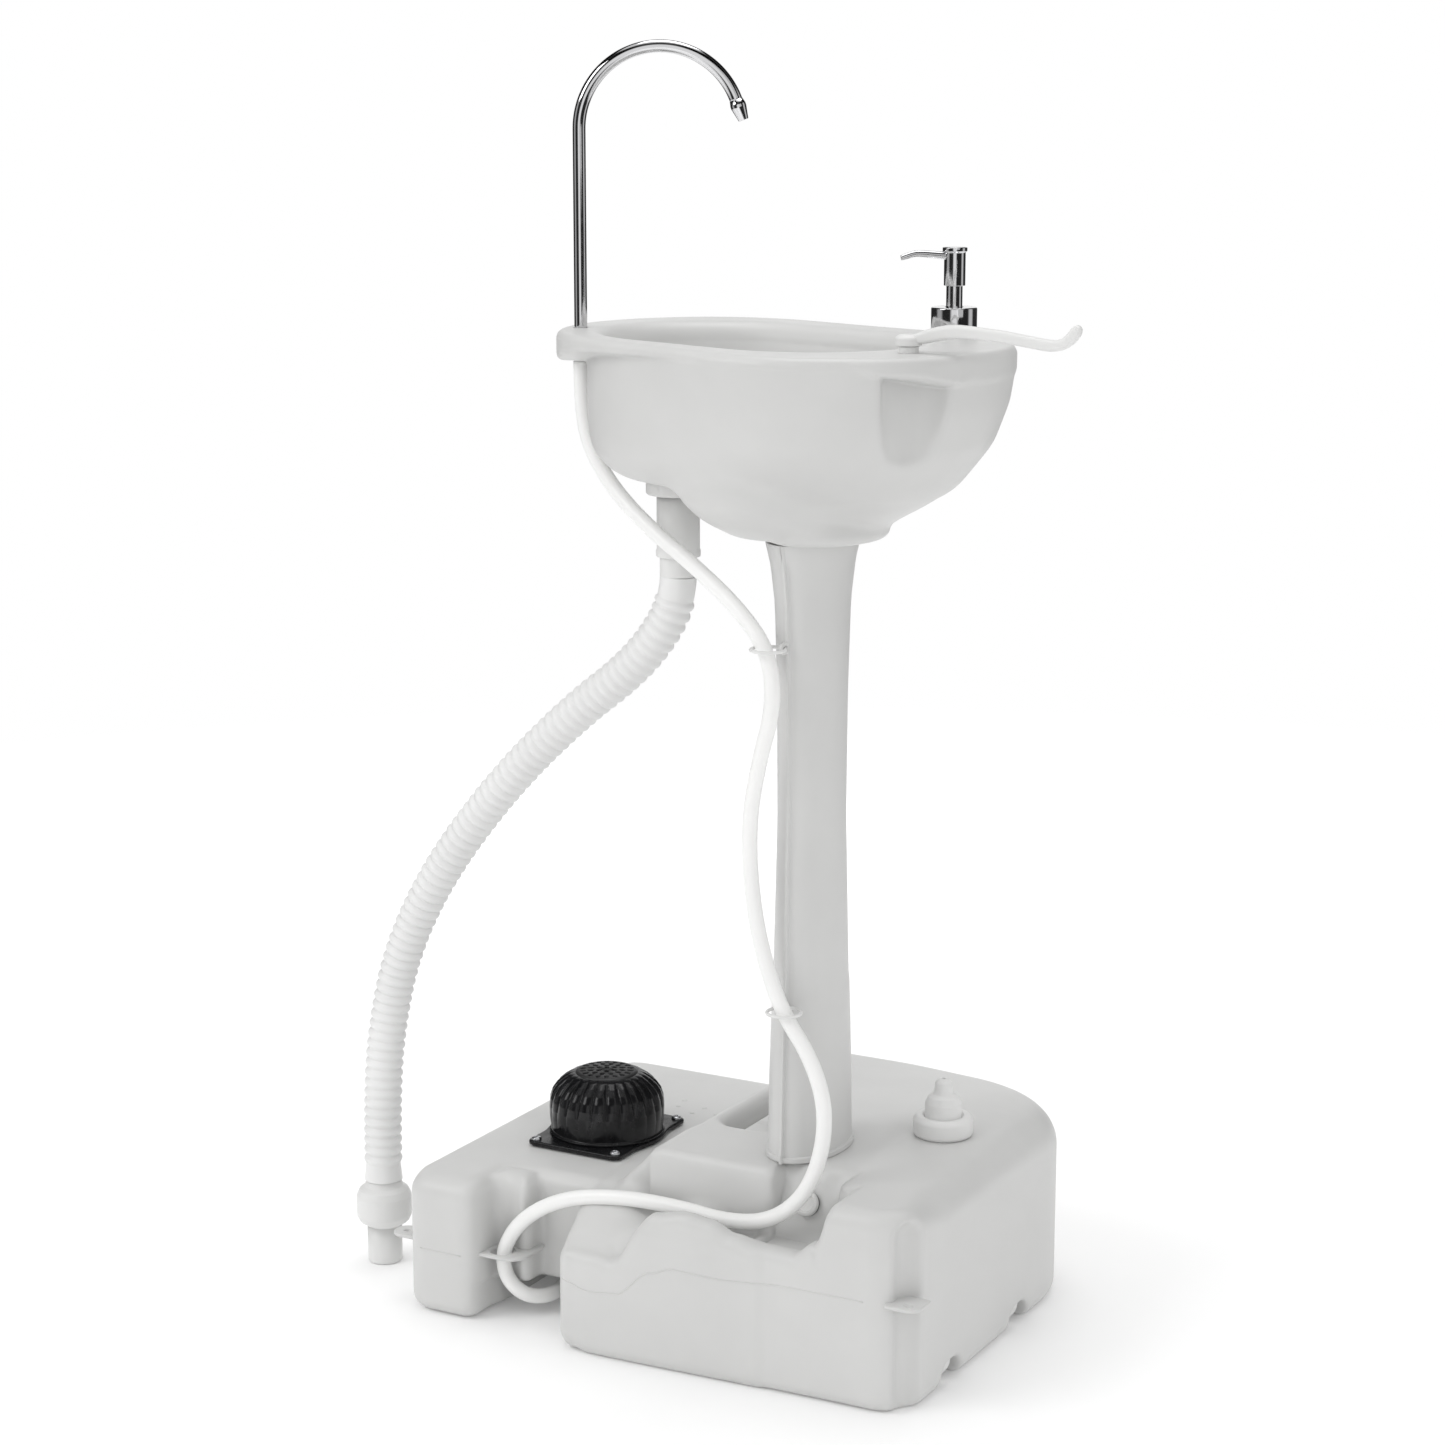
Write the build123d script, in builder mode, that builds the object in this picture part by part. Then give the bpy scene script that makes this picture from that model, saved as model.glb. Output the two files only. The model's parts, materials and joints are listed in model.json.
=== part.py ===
"""Portable handwash sink: moulded water tank, column, bowl, foot pump, gooseneck, soap pump and hoses.

Frame: origin on the floor under the column's axis, +X along the tank's long front to the right,
+Y towards the back, +Z up. Millimetres.
"""
from build123d import *
import os
from math import acos, atan2, cos, hypot, pi, radians, sin, tan

os.makedirs("parts", exist_ok=True)

# ---------------------------------------------------------------- driving dimensions
WALL = 3.0                      # wall of the blow-moulded pieces

TANK_LEFT, TANK_RIGHT = -316.0, 140.0
TANK_FRONT, TANK_BACK = -118.0, 245.0
TANK_TOP = 158.0                # top of the main tank, where the column stands
PLATFORM_TOP = 116.0            # top of the lower part that carries the foot pump
LOBE_FRONT = -105.0             # front of the left lobe
LOBE_RIGHT = -245.0             # right face of the left lobe, left side of the hose notch
NOTCH_RIGHT = -165.0            # left end of the front lobe, right side of the hose notch
NOTCH_BACK = -50.0              # wall at the back of the notch
TUNNEL_TOP = 28.0               # underside of the platform where the hose runs to the pump
TUNNEL_BACK = 115.0
BLOCK_LEFT = -108.0             # left side of the raised main tank
BLOCK_FRONT = -66.0             # front of the raised main tank behind the hose shelf
PARTING_Z = 55.0                # height of the left parting tabs
SLOPE_TOP_Y, SLOPE_FOOT_Z = -44.0, 106.0  # sloped face in front of the column, with the drain plug

HANDLE_Y = (16.0, 138.0)        # finger gap under and beside the carry bar
HANDLE_BAR_RIGHT = -90.0
HANDLE_GAP_RIGHT = -44.0
HANDLE_GAP_FLOOR = 112.0

SOCKET_A, SOCKET_B = 20.0, 35.0  # half axes of the sockets that take the column's tenons
SOCKET_DEPTH = 46.0

PUMP_X, PUMP_Y = -215.0, 49.0
PUMP_SCREW_X, PUMP_SCREW_Y = 75.0, 101.0
PUMP_PLATE_X, PUMP_PLATE_Y = 88.0, 114.0
PUMP_STROKE = 35.0
BELLOWS_BASE, BELLOWS_TOP = 121.0, 170.0

FILLER_X, FILLER_Y = 80.0, 75.0

WHEEL_R, WHEEL_WIDTH = 18.0, 14.0
WHEEL_X = 118.0
WHEEL_Y = {"front": -33.0, "back": 95.0}
AXLE_R = 3.0

RIM_Z = 786.0                   # top of the basin's deck
DECK_THICK = 21.0
BASIN_FLOOR = 692.0             # lowest point of the bowl, at the waste hole
BASIN_UNDER = 680.0             # flat underside round the waste
COLUMN_TOP = 640.0              # where the column meets the basin's boss
DRAIN_X, DRAIN_Y = -122.0, 8.0

FAUCET_X, FAUCET_Y = -202.0, -3.0
FAUCET_HEADING = 28.8           # plan angle of the gooseneck
FAUCET_R = 5.0
GOOSE_R = 62.0
GOOSE_START = 941.0
GOOSE_SWEEP = 156.0

SOAP_X, SOAP_Y = 64.0, 108.0
SOAP_HEADING = 219.0            # plan angle of the soap spout, towards the bowl
TOWEL_X, TOWEL_Y = 96.0, -39.0

WATER_HOSE_D = 12.0
DRAIN_HOSE_D = 32.0

# Column sections: height and half axis along X; the half axis along Y is larger by OVAL.
OVAL = 1.68
COLUMN_SECTIONS = [(158, 28.0), (220, 27.3), (293, 25.1), (422, 22.5), (520, 23.0), (592, 24.6),
                   (622, 27.5), (640, 31.0)]

# Outer form of the bowl below its deck: height, left circle (x, y, r), right circle (x, y, r).
BOWL_OUTER = [(766, (-70, 30, 124), (12, 12, 134)), (744, (-70, 30, 124), (12, 12, 131)),
              (712, (-70, 30, 120), (12, 12, 120)), (697, (-70, 30, 113), (12, 12, 112)),
              (686, (-70, 30, 104), (12, 12, 104)), (680, (-70, 30, 90), (12, 12, 96))]
BELLY_OUTER = [(690, (-22, 10, 73), (40, 10, 74)), (674, (-22, 10, 65), (36, 10, 71)),
               (660, (-16, 8, 57), (18, 8, 62)), (646, (-8, 4, 42), (12, 4, 50))]
# Inside of the bowl, from the deck down to its floor.
BOWL_INNER = [(790, (-94, 26, 88), (-18, 16, 90)), (760, (-94, 24, 82), (-20, 16, 84)),
              (730, (-96, 20, 72), (-26, 15, 73)), (710, (-100, 16, 60), (-36, 14, 60)),
              (698, (-106, 12, 48), (-48, 13, 45)), (692, (-112, 10, 36), (-62, 12, 32))]

# Routes of the two hoses: the points where their straight runs would meet.
WATER_ROUTE = [(-202, -3, 765), (-202, -3, 736), (-194, -8, 702), (-168, -15, 669), (-128, -26, 641),
               (-78, -39, 615), (-36, -49, 588), (-7, -58, 560), (-2, -59, 520), (-15, -59, 476),
               (-24, -59, 425), (-20, -59, 365), (-8, -60, 318), (8, -61, 282), (32, -63, 253),
               (48, -68, 218), (48, -74, 180), (35, -79, 146), (8, -81, 123), (-30, -79, 115),
               (-78, -78, 119), (-130, -79, 118), (-176, -83, 110), (-213, -86, 88), (-233, -86, 58),
               (-231, -85, 33), (-216, -79, 18), (-204, -60, 14), (-208, -30, 14), (-215, -3, 14),
               (-215, 18, 14)]
DRAIN_ROUTE = [(-122, 8, 600), (-122, 8, 564), (-136, 5, 530), (-162, 3, 502), (-204, 0, 466),
               (-263, -7, 405), (-319, -13, 337), (-357, -19, 267), (-379, -23, 198),
               (-388, -28, 136), (-388, -28, 72)]


# ---------------------------------------------------------------- helpers
def save(piece, label):
    piece.label = label
    export_step(piece, f"parts/{label}.step")


def rounded_block(x, y, z, corners=(10, 10, 10, 10), top=0, bottom=0, inset=0):
    """A block between two X, two Y and two Z values, smaller by inset on every side.

    corners: radii of the front left, front right, back right and back left upright edges.
    """
    x0, x1 = x[0] + inset, x[1] - inset
    y0, y1 = y[0] + inset, y[1] - inset
    z0, z1 = z[0] + inset, z[1] - inset
    points = [(x0, y0), (x1, y0), (x1, y1), (x0, y1)]
    with BuildPart() as block:
        with BuildSketch(Plane.XY.offset(z0)) as plan:
            with BuildLine():
                Polyline(*points, close=True)
            make_face()
            for point, radius in zip(points, corners):
                corner = plan.vertices().sort_by_distance((*point, z0))[0]
                fillet(corner, max(radius - inset, 1))
        extrude(amount=z1 - z0)
        if top > inset:
            fillet(block.edges().group_by(Axis.Z)[-1], top - inset)
        if bottom > inset:
            fillet(block.edges().group_by(Axis.Z)[0], bottom - inset)
    return block.part


def egg(plane, left, right):
    """A face round two circles (x, y, r) and the tangents that join them."""
    (xl, yl, rl), (xr, yr, rr) = left, right
    heading = atan2(yr - yl, xr - xl)
    spread = acos((rl - rr) / hypot(xr - xl, yr - yl))

    def on_left(angle):
        return (xl + rl * cos(heading + angle), yl + rl * sin(heading + angle))

    def on_right(angle):
        return (xr + rr * cos(heading + angle), yr + rr * sin(heading + angle))

    with BuildSketch(plane) as face:
        with BuildLine():
            ThreePointArc(on_left(spread), on_left(pi), on_left(-spread))
            Line(on_left(-spread), on_right(-spread))
            ThreePointArc(on_right(-spread), on_right(0), on_right(spread))
            Line(on_right(spread), on_left(spread))
        make_face()
    return face.sketch


def egg_form(sections):
    """Stacked egg sections joined by ruled sides."""
    faces = [egg(Plane.XY.offset(z), left, right) for z, left, right in sections]
    with BuildPart() as form:
        for face in faces:
            add(face)
        loft(ruled=True)
    return form.part


def oval_column(sections, inset=0):
    """Smooth oval pillar through its sections."""
    with BuildPart() as pillar:
        for z, half in sections:
            with BuildSketch(Plane.XY.offset(z)):
                Ellipse(half - inset, half * OVAL - inset)
        loft()
    return pillar.part


def oval_prism(a, b, z0, z1):
    with BuildPart() as prism:
        with BuildSketch(Plane.XY.offset(z0)):
            Ellipse(a, b)
        extrude(amount=z1 - z0)
    return prism.part


def ring(x, y, z0, z1, outer, inner=0, plane=None):
    """Round disc or tube on an upright axis, or along a given plane's normal."""
    base = plane or Plane.XY.offset(z0)
    centre = (0, 0) if plane else (x, y)
    with BuildPart() as tube:
        with BuildSketch(base):
            with Locations(centre):
                Circle(outer)
                if inner:
                    Circle(inner, mode=Mode.SUBTRACT)
        extrude(amount=z1 - z0)
    return tube.part


def coil(x, y, z0, z1, radius, wire, turns):
    """Compression spring on an upright axis, its ends half a wire inside z0 and z1."""
    height = z1 - z0 - 2 * wire
    with BuildPart() as spring:
        with BuildLine(Plane((x, y, z0 + wire))) as wind:
            Helix(height / turns, height, radius)
        with BuildSketch(Plane(wind.line @ 0, z_dir=wind.line % 0)):
            Circle(wire / 2)
        sweep()
    return spring.part


def corner_radii(route):
    """Each corner's radius: as large as its two runs allow."""
    radii = []
    for before, here, after in zip(route, route[1:], route[2:]):
        run_in = Vector(*here) - Vector(*before)
        run_out = Vector(*after) - Vector(*here)
        half_turn = radians(run_in.get_angle(run_out)) / 2
        radii.append(0.45 * min(run_in.length, run_out.length) / tan(half_turn))
    return radii


def hose(route, diameter, label):
    """Round tube along straight runs joined by tangent arcs."""
    radii = corner_radii(route)
    print(label, "corner radii", [round(radius) for radius in radii])
    with BuildPart() as tube:
        with BuildLine() as path:
            FilletPolyline(*route, radius=radii)
        with BuildSketch(Plane(path.line @ 0, z_dir=path.line % 0)):
            Circle(diameter / 2)
        sweep()
    length = sum(edge.length for edge in path.edges())
    print(label, "length", round(length, 1), "volume ratio",
          round(tube.part.volume / (pi * diameter ** 2 / 4 * length), 4))
    return tube.part


# ---------------------------------------------------------------- tank
def recess_wedge(inset):
    """Space in front of the sloped face that carries the drain plug."""
    back_top = SLOPE_TOP_Y + inset
    back_foot = BLOCK_FRONT + inset
    with BuildPart() as wedge:
        with BuildSketch(Plane.YZ.offset(4 - inset)):
            with BuildLine():
                Polyline((back_top, TANK_TOP), (back_foot, SLOPE_FOOT_Z - inset),
                         (TANK_FRONT - 9, SLOPE_FOOT_Z - inset), (TANK_FRONT - 9, TANK_TOP), close=True)
            make_face()
        extrude(amount=48 + 2 * inset)
    return wedge.part


def front_lobe(inset):
    """The front wall's lobe: a low end, a bump that keeps the hose in, a shelf and a sweep up."""
    left, right = NOTCH_RIGHT + inset, TANK_RIGHT - inset
    foot = inset
    with BuildPart() as lobe:
        with BuildSketch(Plane.XZ.offset(-(TANK_FRONT + inset))) as outline:
            with BuildLine():
                Polyline((left + 8, foot), (right, foot), (right, TANK_TOP - 4 - inset),
                         (92 + inset, TANK_TOP - 4 - inset), (64 + inset, 104 - inset),
                         (-14, 104 - inset), (-34 - inset, 126 - inset), (-74 + inset, 126 - inset),
                         (-104 + inset, 88 - inset), (left, 88 - inset), (left, 30), close=True)
            make_face()
            fillet(outline.vertices().filter_by(lambda v: v.Z > 60), 9)
        extrude(amount=-(BLOCK_FRONT + 12 - TANK_FRONT - 2 * inset))
    return lobe.part


def hose_trough(inset):
    """Shelf behind the bump on which the water hose lies."""
    return rounded_block((NOTCH_RIGHT - 20 - inset, 4), (-90 - inset, BLOCK_FRONT + inset),
                         (104 - inset, TANK_TOP + 20), corners=(1, 1, 1, 1))


def tank_form(inset):
    """Outer form of the tank, or with an inset the space inside its walls."""
    left_runner = rounded_block((TANK_LEFT, LOBE_RIGHT), (LOBE_FRONT, TANK_BACK), (0, PLATFORM_TOP),
                                (22, 14, 10, 44), 14, 8, inset)
    back_runner = rounded_block((TANK_LEFT, BLOCK_LEFT + 20), (TUNNEL_BACK, TANK_BACK), (0, PLATFORM_TOP),
                                (5, 5, 5, 44), 14, 8, inset)
    bridge = rounded_block((TANK_LEFT + 20, NOTCH_RIGHT + 30), (NOTCH_BACK, TUNNEL_BACK + 30),
                           (TUNNEL_TOP, PLATFORM_TOP), (5, 5, 5, 5), 0, 0, inset)
    low_block = rounded_block((NOTCH_RIGHT, 0), (BLOCK_FRONT, TANK_BACK), (0, PLATFORM_TOP),
                              (12, 5, 5, 5), 0, 8, inset)
    main_block = rounded_block((BLOCK_LEFT, TANK_RIGHT), (BLOCK_FRONT, TANK_BACK), (0, TANK_TOP),
                               (14, 20, 85, 24), 12, 8, inset)
    lobe = front_lobe(inset)
    wedge = recess_wedge(inset)
    trough = hose_trough(inset)
    pocket = rounded_block((HANDLE_BAR_RIGHT - inset, HANDLE_GAP_RIGHT + inset),
                           (HANDLE_Y[0] - inset, HANDLE_Y[1] + inset),
                           (HANDLE_GAP_FLOOR - inset, TANK_TOP + 20), (8, 8, 8, 8))
    under_bar = rounded_block((BLOCK_LEFT - 8, HANDLE_BAR_RIGHT + 2),
                              (HANDLE_Y[0] - inset, HANDLE_Y[1] + inset),
                              (PLATFORM_TOP - inset, 136 + inset), (2, 2, 2, 2))
    wells = [rounded_block((WHEEL_X - WHEEL_R - 3 - inset, TANK_RIGHT - WALL + inset),
                           (y - WHEEL_WIDTH / 2 - 2 - inset, y + WHEEL_WIDTH / 2 + 2 + inset),
                           (-20, 2 * WHEEL_R + 3 + inset), (4, 1, 1, 4)) for y in WHEEL_Y.values()]
    with BuildPart() as form:
        add([left_runner, back_runner, bridge, low_block, main_block, lobe])
        add([wedge, trough, pocket, under_bar], mode=Mode.SUBTRACT)
        add(wells, mode=Mode.SUBTRACT)
    return form.part


# The sloped face of the drain plug, facing forward and up.
slope_run, slope_rise = SLOPE_TOP_Y - BLOCK_FRONT, TANK_TOP - SLOPE_FOOT_Z
plug_plane = Plane((27, (SLOPE_TOP_Y + BLOCK_FRONT) / 2, (TANK_TOP + SLOPE_FOOT_Z) / 2), x_dir=(1, 0, 0),
                   z_dir=(0, -slope_rise, slope_run))
print("drain plug axis", plug_plane.origin, plug_plane.z_dir)

outer_form = tank_form(0)
inner_form = tank_form(WALL)
socket_wall = oval_prism(SOCKET_A + WALL, SOCKET_B + WALL, TANK_TOP - SOCKET_DEPTH - WALL, TANK_TOP - 1)
socket_hole = oval_prism(SOCKET_A, SOCKET_B, TANK_TOP - SOCKET_DEPTH, TANK_TOP + 5)
plug_boss = ring(0, 0, -12, 0, 11, plane=plug_plane.offset(-12))
plug_hole = ring(0, 0, -30, 20, 7.8, plane=plug_plane.offset(-30))
neck = ring(FILLER_X, FILLER_Y, TANK_TOP - 6, TANK_TOP + 9, 19, 16)
neck_hole = ring(FILLER_X, FILLER_Y, TANK_TOP - 8, TANK_TOP + 20, 16)
hose_tab = rounded_block((LOBE_RIGHT - 6, -212), (-98, -64), (PARTING_Z - 1.5, PARTING_Z + 1.5), (3, 12, 10, 3))
corner_tab = rounded_block((TANK_LEFT - 20, TANK_LEFT + 16), (-96, -74), (PARTING_Z - 1.5, PARTING_Z + 1.5),
                           (9, 2, 2, 9))
AXLE_REACH = WHEEL_WIDTH / 2 + 6

with BuildPart() as tank_shell:
    add(outer_form)
    add(inner_form, mode=Mode.SUBTRACT)
    add([socket_wall, plug_boss, neck, hose_tab, corner_tab])
    add([socket_hole, plug_hole, neck_hole], mode=Mode.SUBTRACT)
    # Pump well: wide hole in the platform, small hole in the tunnel's roof.
    with BuildSketch(Plane.XY.offset(PLATFORM_TOP + 1)):
        with Locations((PUMP_X, PUMP_Y)):
            Circle(31)
    extrude(amount=-10, mode=Mode.SUBTRACT)
    with BuildSketch(Plane.XY.offset(TUNNEL_TOP - 1)):
        with Locations((PUMP_X, PUMP_Y)):
            Circle(12)
    extrude(amount=10, mode=Mode.SUBTRACT)
    # Screw holes round the pump, and the hose's hole in its tab.
    with BuildSketch(Plane.XY.offset(PLATFORM_TOP + 1)):
        with Locations((PUMP_X, PUMP_Y)):
            with GridLocations(PUMP_SCREW_X, PUMP_SCREW_Y, 2, 2):
                Circle(1.8)
    extrude(amount=-6, mode=Mode.SUBTRACT)
    with BuildSketch(Plane.XY.offset(PARTING_Z - 3)):
        with Locations((-233, -86)):
            Circle(10)
    extrude(amount=6, mode=Mode.SUBTRACT)
    with BuildSketch(Plane.XY.offset(PARTING_Z - 3)):
        with Locations((TANK_LEFT - 10, -85)):
            Circle(3)
    extrude(amount=6, mode=Mode.SUBTRACT)
    # Axle bores beside each wheel.
    for y in WHEEL_Y.values():
        with BuildSketch(Plane.XZ.offset(-(y - AXLE_REACH))):
            with Locations((WHEEL_X, WHEEL_R)):
                Circle(AXLE_R)
        extrude(amount=-2 * AXLE_REACH, mode=Mode.SUBTRACT)
save(tank_shell.part, "tank_shell")

for side, y in WHEEL_Y.items():
    wheel_plane = Plane((WHEEL_X, y + WHEEL_WIDTH / 2, WHEEL_R), x_dir=(1, 0, 0), z_dir=(0, -1, 0))
    with BuildPart() as wheel:
        with BuildSketch(wheel_plane):
            Circle(WHEEL_R)
            Circle(AXLE_R + 0.06, mode=Mode.SUBTRACT)
        extrude(amount=WHEEL_WIDTH)
        fillet(wheel.edges().filter_by(GeomType.CIRCLE).sort_by(SortBy.RADIUS)[-2:], 2)
        with BuildSketch(wheel_plane.offset(WHEEL_WIDTH - 3)):
            Circle(WHEEL_R - 5)
            Circle(AXLE_R + 3, mode=Mode.SUBTRACT)
        extrude(amount=4, mode=Mode.SUBTRACT)
    save(wheel.part, f"wheel_{side}")
    with BuildPart() as axle:
        with BuildSketch(Plane((WHEEL_X, y + AXLE_REACH, WHEEL_R), x_dir=(1, 0, 0), z_dir=(0, -1, 0))):
            Circle(AXLE_R)
        extrude(amount=2 * AXLE_REACH)
    save(axle.part, f"axle_{side}")

# Filler cap: threaded nut, spray-tip nozzle and gasket.
NECK_TOP = TANK_TOP + 9
with BuildPart() as filler_nut:
    with BuildSketch(Plane.XY.offset(TANK_TOP + 0.4)):
        with Locations((FILLER_X, FILLER_Y)):
            Circle(24)
            Circle(19.3, mode=Mode.SUBTRACT)
    extrude(amount=NECK_TOP + 4.2 - TANK_TOP - 0.4)
    with BuildSketch(Plane.XY.offset(NECK_TOP + 4.2)):
        with Locations((FILLER_X, FILLER_Y)):
            Circle(24)
            Circle(14.8, mode=Mode.SUBTRACT)
    extrude(amount=3)
    fillet(filler_nut.edges().group_by(Axis.Z)[-1].sort_by(SortBy.RADIUS)[-1], 2)
save(filler_nut.part, "filler_nut")

filler_gasket = ring(FILLER_X, FILLER_Y, NECK_TOP + 0.2, NECK_TOP + 2.2, 19, 15)
save(filler_gasket, "filler_gasket")

with BuildPart() as filler_nozzle:
    with BuildSketch(Plane.XZ) as profile:
        with BuildLine():
            Polyline((1.5, NECK_TOP + 2.2), (19, NECK_TOP + 2.2), (19, NECK_TOP + 4.2), (14.5, NECK_TOP + 4.2),
                     (14.5, 186), (11, 191), (7.5, 193), (6.8, 203), (1.5, 204), close=True)
        make_face()
    revolve(axis=Axis.Z)
save(filler_nozzle.part.moved(Location((FILLER_X, FILLER_Y, 0))), "filler_nozzle")

# Drain plug of the tank, on the sloped face.
drain_plug_head = ring(0, 0, 0, 5, 10, plane=plug_plane.offset(1.5))
drain_plug_stem = ring(0, 0, 0, 9.5, 7.4, plane=plug_plane.offset(-8))
with BuildPart() as drain_plug:
    add([drain_plug_head, drain_plug_stem])
    chamfer(drain_plug.edges().filter_by(GeomType.CIRCLE).sort_by(Axis.Z)[-1], 1)
save(drain_plug.part, "drain_plug")
drain_plug_seal = ring(0, 0, 0, 1.3, 9.6, 7.6, plane=plug_plane.offset(0.1))
save(drain_plug_seal, "drain_plug_seal")

# ---------------------------------------------------------------- foot pump
with BuildPart() as pump_gasket:
    with BuildSketch(Plane.XY.offset(PLATFORM_TOP)):
        with Locations((PUMP_X, PUMP_Y)):
            Circle(46)
            Circle(31, mode=Mode.SUBTRACT)
    extrude(amount=1.5)
save(pump_gasket.part, "pump_gasket")

with BuildPart() as pump_flange:
    with BuildSketch(Plane.XY.offset(PLATFORM_TOP + 1.5)):
        with Locations((PUMP_X, PUMP_Y)):
            RectangleRounded(PUMP_PLATE_X, PUMP_PLATE_Y, 7)
            Circle(49)
            Circle(27, mode=Mode.SUBTRACT)
            with GridLocations(PUMP_SCREW_X, PUMP_SCREW_Y, 2, 2):
                Circle(2.1, mode=Mode.SUBTRACT)
    extrude(amount=BELLOWS_BASE - PLATFORM_TOP - 1.5)
save(pump_flange.part, "pump_flange")

with BuildPart() as pump_screws:
    with BuildSketch(Plane.XY.offset(BELLOWS_BASE)):
        with Locations((PUMP_X, PUMP_Y)):
            with GridLocations(PUMP_SCREW_X, PUMP_SCREW_Y, 2, 2):
                Circle(3.8)
    extrude(amount=2.4)
    fillet(pump_screws.edges().group_by(Axis.Z)[-1], 1.2)
    with BuildSketch(Plane.XY.offset(BELLOWS_BASE)):
        with Locations((PUMP_X, PUMP_Y)):
            with GridLocations(PUMP_SCREW_X, PUMP_SCREW_Y, 2, 2):
                Circle(1.7)
    extrude(amount=-14)
save(pump_screws.part, "pump_screws")

# Cup that hangs in the tank, with a guide sleeve for the tread's rod.
with BuildPart() as pump_body:
    with BuildSketch(Plane.XZ) as profile:
        with BuildLine():
            Polyline((0, 42), (30, 42), (30, PLATFORM_TOP + 1.3), (27.2, PLATFORM_TOP + 1.3), (27.2, 46), (7, 46),
                     (7, 97), (14, 97), (14, 100), (4.05, 100), (4.05, 50), (0, 50), close=True)
        make_face()
    revolve(axis=Axis.Z)
    with BuildSketch(Plane.XY.offset(41)):
        with Locations((18, 0), (-18, 0)):
            Circle(4)
    extrude(amount=6, mode=Mode.SUBTRACT)
save(pump_body.part.moved(Location((PUMP_X, PUMP_Y, 0))), "pump_body")

with BuildPart() as pump_bellows:
    with BuildSketch(Plane.XZ) as profile:
        with BuildLine():
            Polyline((38, BELLOWS_BASE), (43, BELLOWS_BASE), (46, 136), (45, 146), (40, 157), (32, 166),
                     (26, BELLOWS_TOP), (24, BELLOWS_TOP - 2.5), (30.5, 164), (38, 155), (42.5, 145),
                     (43.4, 136), (40, BELLOWS_BASE + 2.5), (38, BELLOWS_BASE + 2.5), close=True)
        make_face()
    revolve(axis=Axis.Z)
save(pump_bellows.part.moved(Location((PUMP_X, PUMP_Y, 0))), "pump_bellows")

with BuildPart() as pump_tread:
    with BuildSketch(Plane.XZ) as profile:
        with BuildLine():
            Polyline((0, 90), (3.98, 90), (3.98, BELLOWS_TOP - 1), (15, BELLOWS_TOP), (26, BELLOWS_TOP + 0.2),
                     (24, BELLOWS_TOP + 2.5), (0, BELLOWS_TOP + 3), close=True)
        make_face()
    revolve(axis=Axis.Z)
save(pump_tread.part.moved(Location((PUMP_X, PUMP_Y, 0))), "pump_tread")

save(coil(PUMP_X, PUMP_Y, 99.2, 170, 10, 2, 6), "pump_spring")

valve_plane_z = 46.0
save(ring(PUMP_X + 18, PUMP_Y, valve_plane_z, valve_plane_z + 1.5, 5.5), "inlet_valve")
save(ring(PUMP_X - 18, PUMP_Y, 40.2, 41.8, 5.5), "outlet_valve")

# Outlet chamber under the cup and the elbow that points to the front through the tunnel.
with BuildPart() as pump_outlet:
    with BuildSketch(Plane.XY.offset(34)):
        with Locations((PUMP_X, PUMP_Y)):
            Circle(26)
    extrude(amount=8)
    with BuildSketch(Plane.XY.offset(36)):
        with Locations((PUMP_X - 12, PUMP_Y)):
            RectangleRounded(26, 14, 4)
    extrude(amount=6, mode=Mode.SUBTRACT)
    with BuildSketch(Plane.XY.offset(36)):
        with Locations((PUMP_X + 18, PUMP_Y)):
            Circle(4)
    extrude(amount=6, mode=Mode.SUBTRACT)
    with BuildSketch(Plane.XY.offset(8)):
        with Locations((PUMP_X, PUMP_Y)):
            Circle(8)
    extrude(amount=26)
    with BuildSketch(Plane.XZ.offset(-PUMP_Y)):
        with Locations((PUMP_X, 14)):
            Circle(5)
    extrude(amount=31)
    with BuildSketch(Plane.XZ.offset(-PUMP_Y)):
        with Locations((PUMP_X, 14)):
            Circle(3)
    extrude(amount=32, mode=Mode.SUBTRACT)
    with BuildSketch(Plane.XY.offset(14)):
        with Locations((PUMP_X, PUMP_Y)):
            Circle(3)
    extrude(amount=24, mode=Mode.SUBTRACT)
save(pump_outlet.part, "pump_outlet")

save(ring(PUMP_X, PUMP_Y, 26, 33, 12, 8), "outlet_grommet")

# Suction line inside the tank.
with BuildPart() as pickup_tube:
    with BuildLine() as path:
        FilletPolyline((PUMP_X + 26, PUMP_Y, 38), (-150, PUMP_Y, 38), (-126, PUMP_Y, 34), (-126, PUMP_Y, 17),
                       radius=8)
    with BuildSketch(Plane(path.line @ 0, z_dir=path.line % 0)):
        Circle(4)
    sweep()
save(pickup_tube.part, "pickup_tube")
save(ring(-126, PUMP_Y, 5, 17, 9), "pickup_strainer")

# ---------------------------------------------------------------- column
outer_pillar = oval_column(COLUMN_SECTIONS)
inner_pillar = oval_column(COLUMN_SECTIONS, WALL)
FIN_REACH = 3.5
fin_profile = [(-(half * OVAL + FIN_REACH), z) for z, half in COLUMN_SECTIONS[:-1]]
TIE_RING, TIE_WIRE = 13.0, 1.3
TIE_CENTRES = {"upper": (-8.5, -57.0, 562.0), "lower": (7.0, -58.5, 283.0)}
TIE_HOLE_Y = {level: y + (TIE_RING ** 2 - x ** 2) ** 0.5 for level, (x, y, z) in TIE_CENTRES.items()}

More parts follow.
